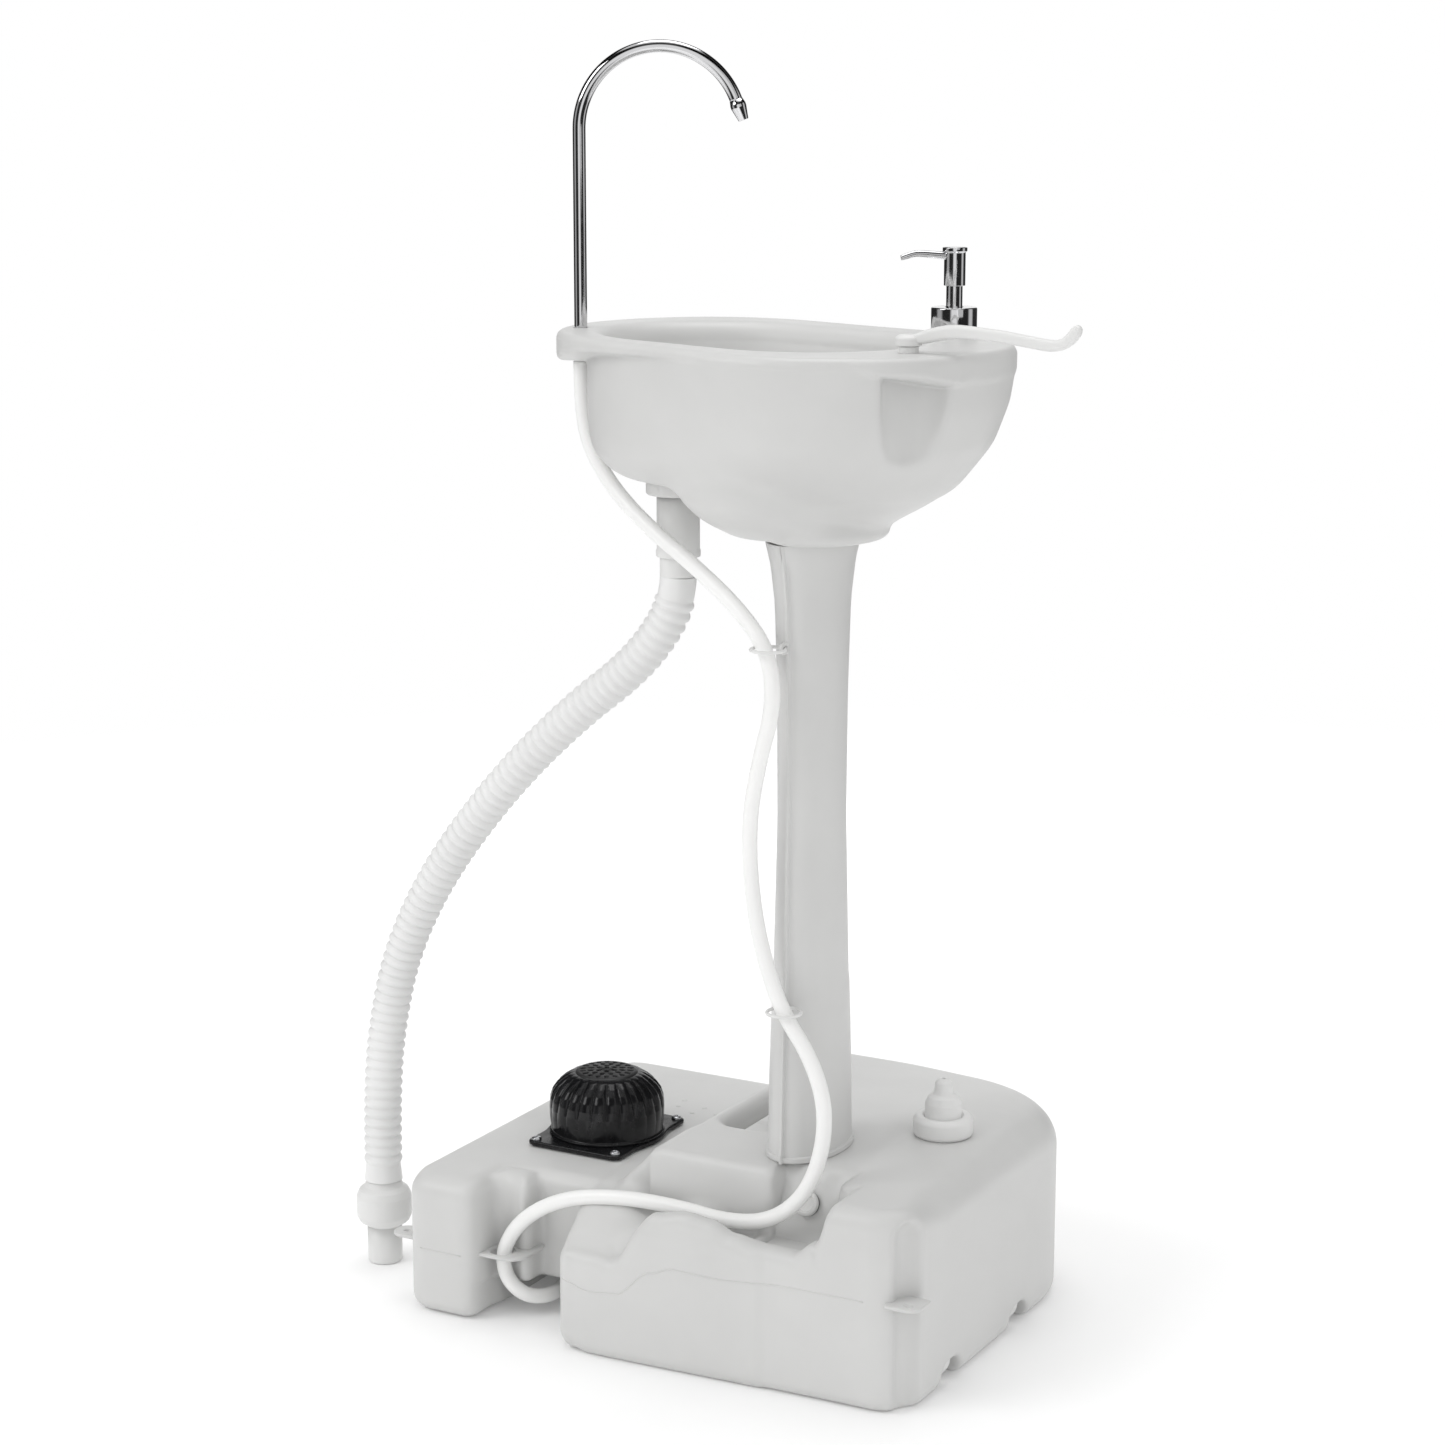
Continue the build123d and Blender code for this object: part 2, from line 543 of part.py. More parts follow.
with BuildPart() as column:
    with BuildSketch(Plane.YZ.offset(-1.5)):
        with BuildLine():
            Polyline(*fin_profile, (-40, 630), (-30, 600), (-30, 170), close=True)
        make_face()
        mirror(about=Plane.YZ)
    extrude(amount=3)
    add(outer_pillar)
    with BuildSketch(Plane.XY.offset(TANK_TOP)):
        Ellipse(30, 49)
    extrude(amount=5)
    fillet(column.edges().filter_by(Plane.XY).group_by(Axis.Z)[1].sort_by(SortBy.LENGTH)[-1:], 1.5)
    add(inner_pillar, mode=Mode.SUBTRACT)
    # Floor and roof of the pillar, and the tenons that go into the sockets.
    with BuildSketch(Plane.XY.offset(TANK_TOP)):
        Ellipse(26, 45)
    extrude(amount=3)
    with BuildSketch(Plane.XY.offset(COLUMN_TOP)):
        Ellipse(30.5, 51)
    extrude(amount=-3)
    with BuildSketch(Plane.XY.offset(TANK_TOP - SOCKET_DEPTH + 2)):
        Ellipse(SOCKET_A - 0.2, SOCKET_B - 0.2)
    extrude(amount=SOCKET_DEPTH)
    with BuildSketch(Plane.XY.offset(COLUMN_TOP - 1)):
        Ellipse(SOCKET_A - 0.2, SOCKET_B - 0.2)
    extrude(amount=23)
    with BuildSketch(Plane.XY.offset(TANK_TOP - SOCKET_DEPTH + 1)):
        Ellipse(SOCKET_A - WALL, SOCKET_B - WALL)
    extrude(amount=COLUMN_TOP - TANK_TOP + SOCKET_DEPTH + 30, mode=Mode.SUBTRACT)
    # Lugs on the parting fin that the hose ties pass through.
    for level, (x, y, z) in TIE_CENTRES.items():
        with BuildSketch(Plane.YZ.offset(-1.5)):
            with Locations((TIE_HOLE_Y[level] + 2, z)):
                SlotOverall(14, 9)
        extrude(amount=3)
        with BuildSketch(Plane.YZ.offset(-3)):
            with Locations((TIE_HOLE_Y[level], z)):
                SlotOverall(7.0, 3.8)
        extrude(amount=6, mode=Mode.SUBTRACT)
save(column.part, "column")

for level, centre in TIE_CENTRES.items():
    with BuildPart() as tie:
        with BuildSketch(Plane(centre, x_dir=(1, 0, 0), z_dir=(0, -1, 0))):
            with Locations((TIE_RING, 0)):
                Circle(TIE_WIRE)
        revolve(axis=Axis(centre, (0, 0, 1)))
    save(tie.part, f"hose_tie_{level}")

# ---------------------------------------------------------------- basin
DECK_LEFT, DECK_RIGHT = (-94, 34, 128), (12, 12, 134)
deck_face = egg(Plane.XY.offset(RIM_Z - DECK_THICK), DECK_LEFT, DECK_RIGHT)
with BuildPart() as deck_form:
    add(deck_face)
    extrude(amount=DECK_THICK)
    fillet(deck_form.edges().group_by(Axis.Z)[-1], 6)
    fillet(deck_form.edges().group_by(Axis.Z)[0], 5)

BOSS_A, BOSS_B = 45.0, 62.0
BOSS_X = 10.0                    # the boss stands a little to the right of the column's axis
BOSS_FOOT = 640.0
boss_outer = oval_prism(BOSS_A, BOSS_B, BOSS_FOOT, 672).moved(Location((BOSS_X, 0, 0)))
TOWEL_RECESS = (131.0, -62.0)      # finger scallop under the deck's front right corner
RECESS_R, RECESS_FOOT = 32.0, 724.0
with BuildPart() as towel_recess:
    with BuildSketch(Plane.XY.offset(RECESS_FOOT)):
        with Locations(TOWEL_RECESS):
            Circle(RECESS_R)
    extrude(amount=RIM_Z - DECK_THICK - RECESS_FOOT)
    with Locations((*TOWEL_RECESS, RECESS_FOOT)):
        Sphere(RECESS_R)

bowl_body = egg_form(BOWL_OUTER)
belly_body = egg_form(BELLY_OUTER)
bowl_space = egg_form(BOWL_INNER)
socket_void = oval_prism(SOCKET_A, SOCKET_B, BOSS_FOOT - 2, 664)
# Hole for the soap bottle, closed below.
bottle_hole = ring(SOAP_X, SOAP_Y, 731, RIM_Z + 1, 12.3)

with BuildPart() as basin_shell:
    add([deck_form.part, bowl_body, belly_body, boss_outer])
    add([bowl_space, towel_recess.part, socket_void, bottle_hole], mode=Mode.SUBTRACT)
    with BuildSketch(Plane.XY.offset(RIM_Z + 5)):
        with Locations((DRAIN_X, DRAIN_Y)):
            Circle(17.8)
    extrude(amount=-200, mode=Mode.SUBTRACT)
    with BuildSketch(Plane.XY.offset(RIM_Z + 1)):
        with Locations((FAUCET_X, FAUCET_Y)):
            Circle(8)
    extrude(amount=-30, mode=Mode.SUBTRACT)
    with BuildSketch(Plane.XY.offset(RIM_Z + 1)):
        with Locations((TOWEL_X, TOWEL_Y)):
            Circle(4)
    extrude(amount=-6, mode=Mode.SUBTRACT)
save(basin_shell.part, "basin_shell")

# ---------------------------------------------------------------- waste
COLLAR_FOOT = 663.0
with BuildPart() as bowl_strainer:
    with BuildSketch(Plane.XY.offset(BASIN_FLOOR)):
        with Locations((DRAIN_X, DRAIN_Y)):
            Circle(23)
            with PolarLocations(5, 6):
                Circle(1.8, mode=Mode.SUBTRACT)
            with PolarLocations(10.5, 12):
                Circle(1.8, mode=Mode.SUBTRACT)
    extrude(amount=1.5)
    with BuildSketch(Plane.XY.offset(BASIN_FLOOR)):
        with Locations((DRAIN_X, DRAIN_Y)):
            Circle(17.5)
            Circle(15, mode=Mode.SUBTRACT)
    extrude(amount=-22)
save(bowl_strainer.part, "bowl_strainer")
save(ring(DRAIN_X, DRAIN_Y, BASIN_UNDER - 2, BASIN_UNDER, 24, 17.8), "drain_gasket")
save(ring(DRAIN_X, DRAIN_Y, COLLAR_FOOT, BASIN_UNDER - 2, 25, 17.6), "drain_collar")
save(ring(DRAIN_X, DRAIN_Y, 615, COLLAR_FOOT, 16.8, 14.6), "drain_tailpiece")
save(ring(DRAIN_X, DRAIN_Y, 600, 632, 14.4, 11.5), "hose_cuff")

drain_hose = hose(DRAIN_ROUTE, DRAIN_HOSE_D, "drain_hose")
save(drain_hose, "drain_hose")
water_hose = hose(WATER_ROUTE, WATER_HOSE_D, "water_hose")
save(water_hose, "water_hose")

END_X, END_Y = -388.0, -28.0
with BuildPart() as waste_nut:
    with BuildSketch(Plane.XZ) as profile:
        with BuildLine():
            Polyline((9, 72), (12, 72), (12, 66), (17, 64), (22, 58), (22.5, 50), (22.5, 38), (20, 34), (14.8, 32),
                     (9, 32), close=True)
        make_face()
    revolve(axis=Axis.Z)
save(waste_nut.part.moved(Location((END_X, END_Y, 0))), "waste_nut")
save(ring(END_X, END_Y, 0.5, 32, 14.5, 11.5), "waste_spigot")

# ---------------------------------------------------------------- faucet
save(ring(FAUCET_X, FAUCET_Y, RIM_Z - DECK_THICK, RIM_Z, 8, 6.5), "faucet_grommet")
with BuildPart() as faucet_shank:
    with BuildSketch(Plane.XY.offset(RIM_Z - DECK_THICK)):
        with Locations((FAUCET_X, FAUCET_Y)):
            Circle(6.5)
            Circle(2.5, mode=Mode.SUBTRACT)
    extrude(amount=3)
    with BuildSketch(Plane.XY.offset(RIM_Z - DECK_THICK + 3)):
        with Locations((FAUCET_X, FAUCET_Y)):
            Circle(6.5)
            Circle(FAUCET_R + 0.05, mode=Mode.SUBTRACT)
    extrude(amount=DECK_THICK - 3)
    with BuildSketch(Plane.XY.offset(RIM_Z)):
        with Locations((FAUCET_X, FAUCET_Y)):
            Circle(8.5)
            Circle(FAUCET_R + 0.05, mode=Mode.SUBTRACT)
    extrude(amount=1.2)
save(faucet_shank.part, "faucet_shank")

heading = radians(FAUCET_HEADING)
goose_plane = Plane((FAUCET_X, FAUCET_Y, 0), x_dir=(cos(heading), sin(heading), 0),
                    z_dir=(sin(heading), -cos(heading), 0))
with BuildPart() as faucet_spout:
    with BuildLine(goose_plane) as path:
        riser = Line((0, RIM_Z - DECK_THICK + 3.3), (0, GOOSE_START))
        CenterArc((GOOSE_R, GOOSE_START), GOOSE_R, 180, -GOOSE_SWEEP)
    with BuildSketch(Plane(riser @ 0, z_dir=(0, 0, 1))):
        Circle(FAUCET_R)
        Circle(FAUCET_R - 1.2, mode=Mode.SUBTRACT)
    sweep()
    tip_point = path.line @ 1
    tip_direction = path.line % 1
save(faucet_spout.part, "faucet_spout")

with BuildPart() as faucet_nozzle:
    with BuildSketch(Plane(tip_point, z_dir=tip_direction)):
        Circle(FAUCET_R + 0.8)
        Circle(2.2, mode=Mode.SUBTRACT)
    extrude(amount=5)
    with BuildSketch(Plane(tip_point + tip_direction * 5, z_dir=tip_direction)):
        Circle(FAUCET_R)
        Circle(2.2, mode=Mode.SUBTRACT)
    extrude(amount=12, taper=5)
save(faucet_nozzle.part, "faucet_nozzle")

# ---------------------------------------------------------------- soap pump
with BuildPart() as soap_bottle:
    with BuildSketch(Plane.XZ) as profile:
        with BuildLine():
            Polyline((0, 732), (11.5, 732), (11.5, RIM_Z), (15, RIM_Z), (15, RIM_Z + 1.5), (11.5, RIM_Z + 1.5),
                     (11.5, 799), (10.5, 799), (10.5, 733), (0, 733), close=True)
        make_face()
    revolve(axis=Axis.Z)
save(soap_bottle.part.moved(Location((SOAP_X, SOAP_Y, 0))), "soap_bottle")

with BuildPart() as soap_collar:
    with BuildSketch(Plane.XZ) as profile:
        with BuildLine():
            Polyline((15.3, RIM_Z), (17.7, RIM_Z), (17.7, 808), (6.35, 808), (6.35, 804), (11.8, 804),
                     (11.8, RIM_Z + 1.7), (15.3, RIM_Z + 1.7), close=True)
        make_face()
    revolve(axis=Axis.Z)
    chamfer(soap_collar.edges().group_by(Axis.Z)[-1].sort_by(SortBy.RADIUS)[-1], 0.8)
save(soap_collar.part.moved(Location((SOAP_X, SOAP_Y, 0))), "soap_collar")

with BuildPart() as soap_pump_body:
    with BuildSketch(Plane.XZ) as profile:
        with BuildLine():
            Polyline((1.5, 742), (8.2, 742), (8.2, 800), (10.4, 800), (10.4, 803), (6.6, 803), (6.6, 790), (5, 788),
                     (5, 744), (1.5, 744), close=True)
        make_face()
    revolve(axis=Axis.Z)
save(soap_pump_body.part.moved(Location((SOAP_X, SOAP_Y, 0))), "soap_pump_body")
save(ring(SOAP_X, SOAP_Y, 734, 742, 3, 1.8), "soap_dip_tube")
save(coil(SOAP_X, SOAP_Y, 743.5, 762.5, 3.6, 0.9, 6), "soap_spring")

with BuildPart() as soap_stem:
    with BuildSketch(Plane.XZ) as profile:
        with BuildLine():
            Polyline((1.5, 762), (4.9, 762), (4.9, 770), (3.5, 770), (3.5, 807), (6.25, 807), (6.25, 824),
                     (4, 824), (4, 836), (1.5, 836), close=True)
        make_face()
    revolve(axis=Axis.Z)
save(soap_stem.part.moved(Location((SOAP_X, SOAP_Y, 0))), "soap_stem")

spout_heading = radians(SOAP_HEADING)
spout_plane = Plane((SOAP_X, SOAP_Y, 0), x_dir=(cos(spout_heading), sin(spout_heading), 0),
                    z_dir=(sin(spout_heading), -cos(spout_heading), 0))
with BuildPart() as soap_head:
    with BuildSketch(Plane.XY.offset(824.1)):
        with Locations((SOAP_X, SOAP_Y)):
            Circle(8.25)
            Circle(4.05, mode=Mode.SUBTRACT)
    extrude(amount=12.1)
    with BuildSketch(Plane.XY.offset(836.2)):
        with Locations((SOAP_X, SOAP_Y)):
            Circle(8.25)
    extrude(amount=13.8)
    with BuildSketch(Plane.XY.offset(850)):
        with Locations((SOAP_X, SOAP_Y)):
            Circle(9.5)
    extrude(amount=3)
    with BuildLine(spout_plane) as path:
        FilletPolyline((4, 846.5), (28, 849.5), (41, 846), radius=12)
    with BuildSketch(Plane(path.line @ 0, z_dir=path.line % 0)):
        Circle(2.5)
    sweep()
save(soap_head.part, "soap_head")

# ---------------------------------------------------------------- towel arm
with BuildPart() as towel_post:
    with BuildSketch(Plane.XY.offset(RIM_Z)):
        with Locations((TOWEL_X, TOWEL_Y)):
            Circle(7.5)
    extrude(amount=5)
    with BuildSketch(Plane.XY.offset(RIM_Z - 2.9)):
        with Locations((TOWEL_X, TOWEL_Y)):
            Circle(3.98)
    extrude(amount=12.5)
save(towel_post.part, "towel_post")

with BuildPart() as towel_arm:
    with BuildSketch(Plane.XY.offset(RIM_Z + 5.3)):
        with Locations((TOWEL_X, TOWEL_Y)):
            Circle(10)
    extrude(amount=7.5)
    fillet(towel_arm.edges().group_by(Axis.Z)[-1], 3)
    with BuildLine(Plane.XZ.offset(-TOWEL_Y)) as path:
        FilletPolyline((TOWEL_X + 4, 796), (TOWEL_X + 12, 797), (TOWEL_X + 35, 804), (TOWEL_X + 112, 796),
                       (TOWEL_X + 131, 806), radius=8)
    with BuildSketch(Plane(path.line @ 0, x_dir=(0, 1, 0), z_dir=path.line % 0)):
        RectangleRounded(10, 8, 3)
    sweep()
    with Locations((TOWEL_X + 131, TOWEL_Y, 806)):
        Sphere(5.5)
    with BuildSketch(Plane.XY.offset(RIM_Z + 5)):
        with Locations((TOWEL_X, TOWEL_Y)):
            Circle(4.05)
    extrude(amount=5, mode=Mode.SUBTRACT)
save(towel_arm.part, "towel_arm")
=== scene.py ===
"""Looks of the portable handwash sink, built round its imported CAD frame.

Moulded pieces are distance fields in millimetres, turned into meshes on a fine grid. Turned pieces are
revolved profiles, and hoses follow smooth splines. Every finish is a procedural material.
"""
import json
from math import cos, pi, radians, sin, sqrt, tan
import bmesh
import bpy
import numpy as np
import openvdb
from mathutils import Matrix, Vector


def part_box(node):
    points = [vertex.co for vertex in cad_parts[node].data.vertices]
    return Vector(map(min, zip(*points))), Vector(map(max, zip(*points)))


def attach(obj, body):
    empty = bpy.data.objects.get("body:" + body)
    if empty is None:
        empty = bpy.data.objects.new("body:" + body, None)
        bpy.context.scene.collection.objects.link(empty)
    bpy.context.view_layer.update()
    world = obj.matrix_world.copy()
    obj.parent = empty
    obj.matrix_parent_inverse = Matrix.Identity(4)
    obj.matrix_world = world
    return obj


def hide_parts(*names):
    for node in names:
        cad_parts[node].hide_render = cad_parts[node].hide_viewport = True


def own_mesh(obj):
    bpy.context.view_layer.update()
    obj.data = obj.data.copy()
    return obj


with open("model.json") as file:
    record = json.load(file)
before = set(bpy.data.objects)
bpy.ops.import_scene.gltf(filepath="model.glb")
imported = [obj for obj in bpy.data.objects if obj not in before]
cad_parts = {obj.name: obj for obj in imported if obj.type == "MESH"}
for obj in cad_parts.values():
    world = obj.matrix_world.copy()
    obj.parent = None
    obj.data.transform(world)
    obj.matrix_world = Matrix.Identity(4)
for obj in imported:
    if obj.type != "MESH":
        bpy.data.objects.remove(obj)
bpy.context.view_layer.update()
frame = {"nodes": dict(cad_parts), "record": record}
MM = 0.001


def low_high(node):
    """Lowest and highest corner of a CAD node, in millimetres."""
    low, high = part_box(node)
    return np.array(low) / MM, np.array(high) / MM


def middle(node):
    low, high = low_high(node)
    return (low + high) / 2


def below(place):
    """The point of the floor plane straight below a place."""
    return (place[0], place[1], 0)


# ---------------------------------------------------------------- camera
CAMERA_PLACE = (1.09505, -2.13470, 0.9981)
CAMERA_DOWN, CAMERA_TURN = 11.8, 28.8
CAMERA_LENS = 79.9


def make_camera():
    data = bpy.data.cameras.new("camera")
    data.sensor_width = 36
    data.lens = CAMERA_LENS
    camera = bpy.data.objects.new("camera", data)
    camera.location = CAMERA_PLACE
    camera.rotation_euler = (radians(90 - CAMERA_DOWN), 0, radians(CAMERA_TURN))
    bpy.context.scene.collection.objects.link(camera)
    bpy.context.scene.camera = camera


make_camera()

# ---------------------------------------------------------------- hoses
WATER_HOSE_D, WATER_HOSE_LENGTH = 0.012, 1.183
WATER_ROUTE = [
    (-0.202, -0.003, 0.765), (-0.202, -0.003, 0.736), (-0.194, -0.008, 0.702), (-0.168, -0.015, 0.669),
    (-0.128, -0.026, 0.641), (-0.078, -0.039, 0.615), (-0.036, -0.049, 0.588), (-0.007, -0.058, 0.560),
    (-0.002, -0.059, 0.520), (-0.015, -0.059, 0.476), (-0.024, -0.059, 0.425), (-0.020, -0.059, 0.365),
    (-0.008, -0.060, 0.318), (0.008, -0.061, 0.282), (0.032, -0.063, 0.253), (0.048, -0.068, 0.218),
    (0.048, -0.074, 0.180), (0.035, -0.079, 0.146), (0.008, -0.081, 0.123), (-0.030, -0.079, 0.115),
    (-0.078, -0.078, 0.119), (-0.130, -0.079, 0.118), (-0.176, -0.083, 0.110), (-0.213, -0.086, 0.088),
    (-0.233, -0.086, 0.058), (-0.231, -0.085, 0.033), (-0.216, -0.079, 0.018), (-0.204, -0.060, 0.014),
    (-0.208, -0.030, 0.014), (-0.215, -0.003, 0.014), (-0.215, 0.018, 0.014)]
DRAIN_ROUTE = [
    (-0.122, 0.008, 0.600), (-0.123, 0.008, 0.581), (-0.138, 0.005, 0.551), (-0.166, 0.003, 0.520),
    (-0.210, 0.000, 0.486), (-0.274, -0.007, 0.423), (-0.335, -0.013, 0.344), (-0.371, -0.019, 0.271),
    (-0.386, -0.023, 0.198), (-0.388, -0.028, 0.136), (-0.388, -0.028, 0.072)]


def route_curve(name, route, steps):
    """A curve object of one smooth NURBS spline through a hose's route."""
    data = bpy.data.curves.new(name, "CURVE")
    data.dimensions = "3D"
    data.resolution_u = steps
    spline = data.splines.new("NURBS")
    spline.points.add(len(route) - 1)
    for point, place in zip(spline.points, route):
        point.co = (*place, 1)
    spline.order_u = 3
    spline.use_endpoint_u = True
    piece = bpy.data.objects.new(name, data)
    bpy.context.scene.collection.objects.link(piece)
    return piece


def spline_points(route, steps):
    """Points along the route's spline, in metres."""
    guide = route_curve("guide", route, steps)
    line = bpy.data.meshes.new_from_object(guide)
    points = np.array([vertex.co for vertex in line.vertices])
    curve = guide.data
    bpy.data.objects.remove(guide)
    bpy.data.curves.remove(curve)
    bpy.data.meshes.remove(line)
    if np.linalg.norm(points[0] - route[0]) > np.linalg.norm(points[-1] - route[0]):
        points = points[::-1]
    return points


def spaced(points, step):
    """The same line, with points evenly spaced by about step; returns points and their distance along it."""
    along = np.concatenate([[0], np.cumsum(np.linalg.norm(np.diff(points, axis=0), axis=1))])
    stations = np.linspace(0, along[-1], int(along[-1] / step) + 1)
    return np.stack([np.interp(stations, along, points[:, i]) for i in range(3)], axis=1), stations


# ---------------------------------------------------------------- mesh helpers
def mesh_piece(name, points, faces, body, slot, finish=None, normals=None):
    """A smooth mesh object from points in metres, riding on a body; its finish is its slot's by default."""
    data = bpy.data.meshes.new(name)
    data.from_pydata([tuple(point) for point in points], [], [tuple(face) for face in faces])
    data.validate()
    data.polygons.foreach_set("use_smooth", [True] * len(data.polygons))
    if normals is not None:
        data.normals_split_custom_set_from_vertices([tuple(normal) for normal in normals])
    piece = bpy.data.objects.new(name, data)
    bpy.context.scene.collection.objects.link(piece)
    data.materials.append(FINISH[finish or slot])
    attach(piece, body)
    return piece


def tube_faces(rows, count):
    """Faces of a tube through rows of points, with both its ends closed."""
    faces = []
    for row in range(rows - 1):
        for i in range(count):
            j = (i + 1) % count
            faces.append((row * count + i, row * count + j, (row + 1) * count + j, (row + 1) * count + i))
    return faces + [tuple(range(count))[::-1], tuple(range((rows - 1) * count, rows * count))]


def sweep(name, centres, rings, body, slot, first_side=(0, 0, 1), finish=None):
    """A tube whose ring i, a list of (side, up) offsets in metres, stands on centre i."""
    centres = np.asarray(centres, float)
    ahead = np.gradient(centres, axis=0)
    ahead /= np.linalg.norm(ahead, axis=1)[:, None]
    side = np.cross(ahead[0], first_side)
    points = []
    for place, forward, ring in zip(centres, ahead, rings):
        side = side - forward * (side @ forward)
        side /= np.linalg.norm(side)
        up = np.cross(forward, side)
        points.append(place + np.outer(ring[:, 0], side) + np.outer(ring[:, 1], up))
    faces = tube_faces(len(centres), len(rings[0]))
    return mesh_piece(name, np.concatenate(points), faces, body, slot, finish)


def circle_ring(radius, sides):
    angles = np.arange(sides) * 2 * pi / sides
    return radius * np.stack([np.cos(angles), np.sin(angles)], axis=1)


def round_corners(points, radius, steps=5):
    """A profile whose inner corners are arcs; a point may carry its own radius as a third value."""
    done = [np.array(points[0][:2], float)]
    for before, here, after in zip(points, points[1:], points[2:]):
        own = here[2] if len(here) > 2 else radius
        corner = np.array(here[:2], float)
        into = corner - np.array(before[:2], float)
        out = np.array(after[:2], float) - corner
        size_in, size_out = np.linalg.norm(into), np.linalg.norm(out)
        into, out = into / size_in, out / size_out
        turn = np.arccos(np.clip(into @ out, -1, 1))
        if own <= 0 or turn < 0.02:
            done.append(corner)
            continue
        reach = min(own * tan(turn / 2), 0.48 * size_in, 0.48 * size_out)
        own = reach / tan(turn / 2)
        inside = out - into
        inside /= np.linalg.norm(inside)
        hub = corner + inside * own / cos(turn / 2)
        first = corner - into * reach - hub
        last = corner + out * reach - hub
        for step in range(steps + 1):
            share = step / steps
            spoke = first * sin((1 - share) * turn) + last * sin(share * turn)
            done.append(hub + spoke / np.linalg.norm(spoke) * own)
    done.append(np.array(points[-1][:2], float))
    return np.array(done)


def turned(name, profile, place, body, slot, radius=0.6, sides=64, axis=(0, 0, 1), flute=None, finish=None):
    """A profile of (radius, height) points in mm, revolved about an axis through place.

    flute: optional function of (angle, radius, height) that returns new radii.
    """
    outline = round_corners(profile, radius)
    angles = np.arange(sides) * 2 * pi / sides
    turn = Vector((0, 0, 1)).rotation_difference(Vector(axis)).to_matrix()
    points, rows = [], []
    for r, z in outline:
        if r < 1e-6:
            rows.append([len(points)] * sides)
            points.append((0, 0, z))
            continue
        rows.append(list(range(len(points), len(points) + sides)))
        radii = flute(angles, r, z) if flute else np.full(sides, r)
        points.extend(zip(radii * np.cos(angles), radii * np.sin(angles), np.full(sides, z)))
    faces = []
    for lower, upper in zip(rows, rows[1:]):
        for i in range(sides):
            j = (i + 1) % sides
            face = list(dict.fromkeys((lower[i], lower[j], upper[j], upper[i])))
            if len(face) > 2:
                faces.append(face)
    placed = (np.array(points) @ np.array(turn).T + np.array(place)) * MM
    return mesh_piece(name, placed, faces, body, slot, finish)


# ---------------------------------------------------------------- distance fields, in millimetres
def join(a, b, r):
    """Union with a fillet of about r."""
    h = np.maximum(r - np.abs(a - b), 0) / r
    return np.minimum(a, b) - h * h * r / 4


def cut(a, b, r):
    """a without b, its edges rounded by about r."""
    return -join(-a, b, r)


def meet(a, b, r):
    """What is in both a and b, its edges rounded by about r."""
    return -join(-a, -b, r)


def ease(x, start, end, low, high):
    """A value that goes smoothly from low at start to high at end, and stays there."""
    t = np.clip((x - start) / (end - start), 0, 1)
    return low + (high - low) * t * t * (3 - 2 * t)


def rounded_plan(x, y, x0, x1, y0, y1, corners):
    """Plan distance to a rectangle with front left, front right, back right and back left corner radii."""
    mx, my = (x0 + x1) / 2, (y0 + y1) / 2
    px, py = x - mx, y - my
    front, back = np.where(px < 0, corners[0], corners[1]), np.where(px < 0, corners[3], corners[2])
    r = np.where(py < 0, front, back)
    qx = np.abs(px) - (x1 - x0) / 2 + r
    qy = np.abs(py) - (y1 - y0) / 2 + r
    return np.minimum(np.maximum(qx, qy), 0) + np.hypot(np.maximum(qx, 0), np.maximum(qy, 0)) - r


def rounded_rise(plan, z, z0, z1, top, bottom):
    """A plan distance given height from z0 to z1, with rounded top and bottom edges."""
    rise = np.abs(z - (z0 + z1) / 2) - (z1 - z0) / 2
    edge = np.where(z > (z0 + z1) / 2, top, bottom)
    a, b = plan + edge, rise + edge
    return np.minimum(np.maximum(a, b), 0) + np.hypot(np.maximum(a, 0), np.maximum(b, 0)) - edge


def block(p, xs, ys, zs, corners, top, bottom):
    """A rounded box; corners is one plan radius, or one for each corner."""
    if not isinstance(corners, tuple):
        corners = (corners,) * 4
    return rounded_rise(rounded_plan(p[0], p[1], *xs, *ys, corners), p[2], *zs, top, bottom)


def oval(x, y, a, b):
    """Plan distance to an ellipse, good near its edge."""
    k = np.hypot(x / a, y / b)
    g = np.hypot(x / (a * a), y / (b * b))
    return k * (k - 1) / np.maximum(g, 1e-6)


def egg(x, y, left, right):
    """Plan distance to the hull of two circles (x, y, r), whose values may vary from point to point."""
    (xl, yl, rl), (xr, yr, rr) = left, right
    dx, dy = xr - xl, yr - yl
    span = np.hypot(dx, dy)
    ux, uy = dx / span, dy / span
    along = (x - xl) * ux + (y - yl) * uy
    across = np.abs((y - yl) * ux - (x - xl) * uy)
    slope = (rl - rr) / span
    level = np.sqrt(np.maximum(1 - slope * slope, 1e-6))
    key = along * level - across * slope
    near_left = np.hypot(along, across) - rl
    near_right = np.hypot(along - span, across) - rr
    side = across * level + along * slope - rl
    return np.where(key < 0, near_left, np.where(key > span * level, near_right, side))


def rod(p, start, end, r):
    """A round-ended rod between two points."""
    a, b = np.array(start, float), np.array(end, float)
    line = b - a
    share = sum((p[i] - a[i]) * line[i] for i in range(3)) / (line @ line)
    share = np.clip(share, 0, 1)
    return np.sqrt(sum((p[i] - a[i] - share * line[i]) ** 2 for i in range(3))) - r


def smooth_line(x, points):
    """A height line through (x, height) points, eased between them."""
    xs, ys = zip(*points)
    i = np.clip(np.searchsorted(xs, x) - 1, 0, len(xs) - 2)
    x0, x1 = np.take(xs, i), np.take(xs, i + 1)
    t = np.clip((x - x0) / (x1 - x0), 0, 1)
    t = t * t * (3 - 2 * t)
    return np.take(ys, i) * (1 - t) + np.take(ys, i + 1) * t


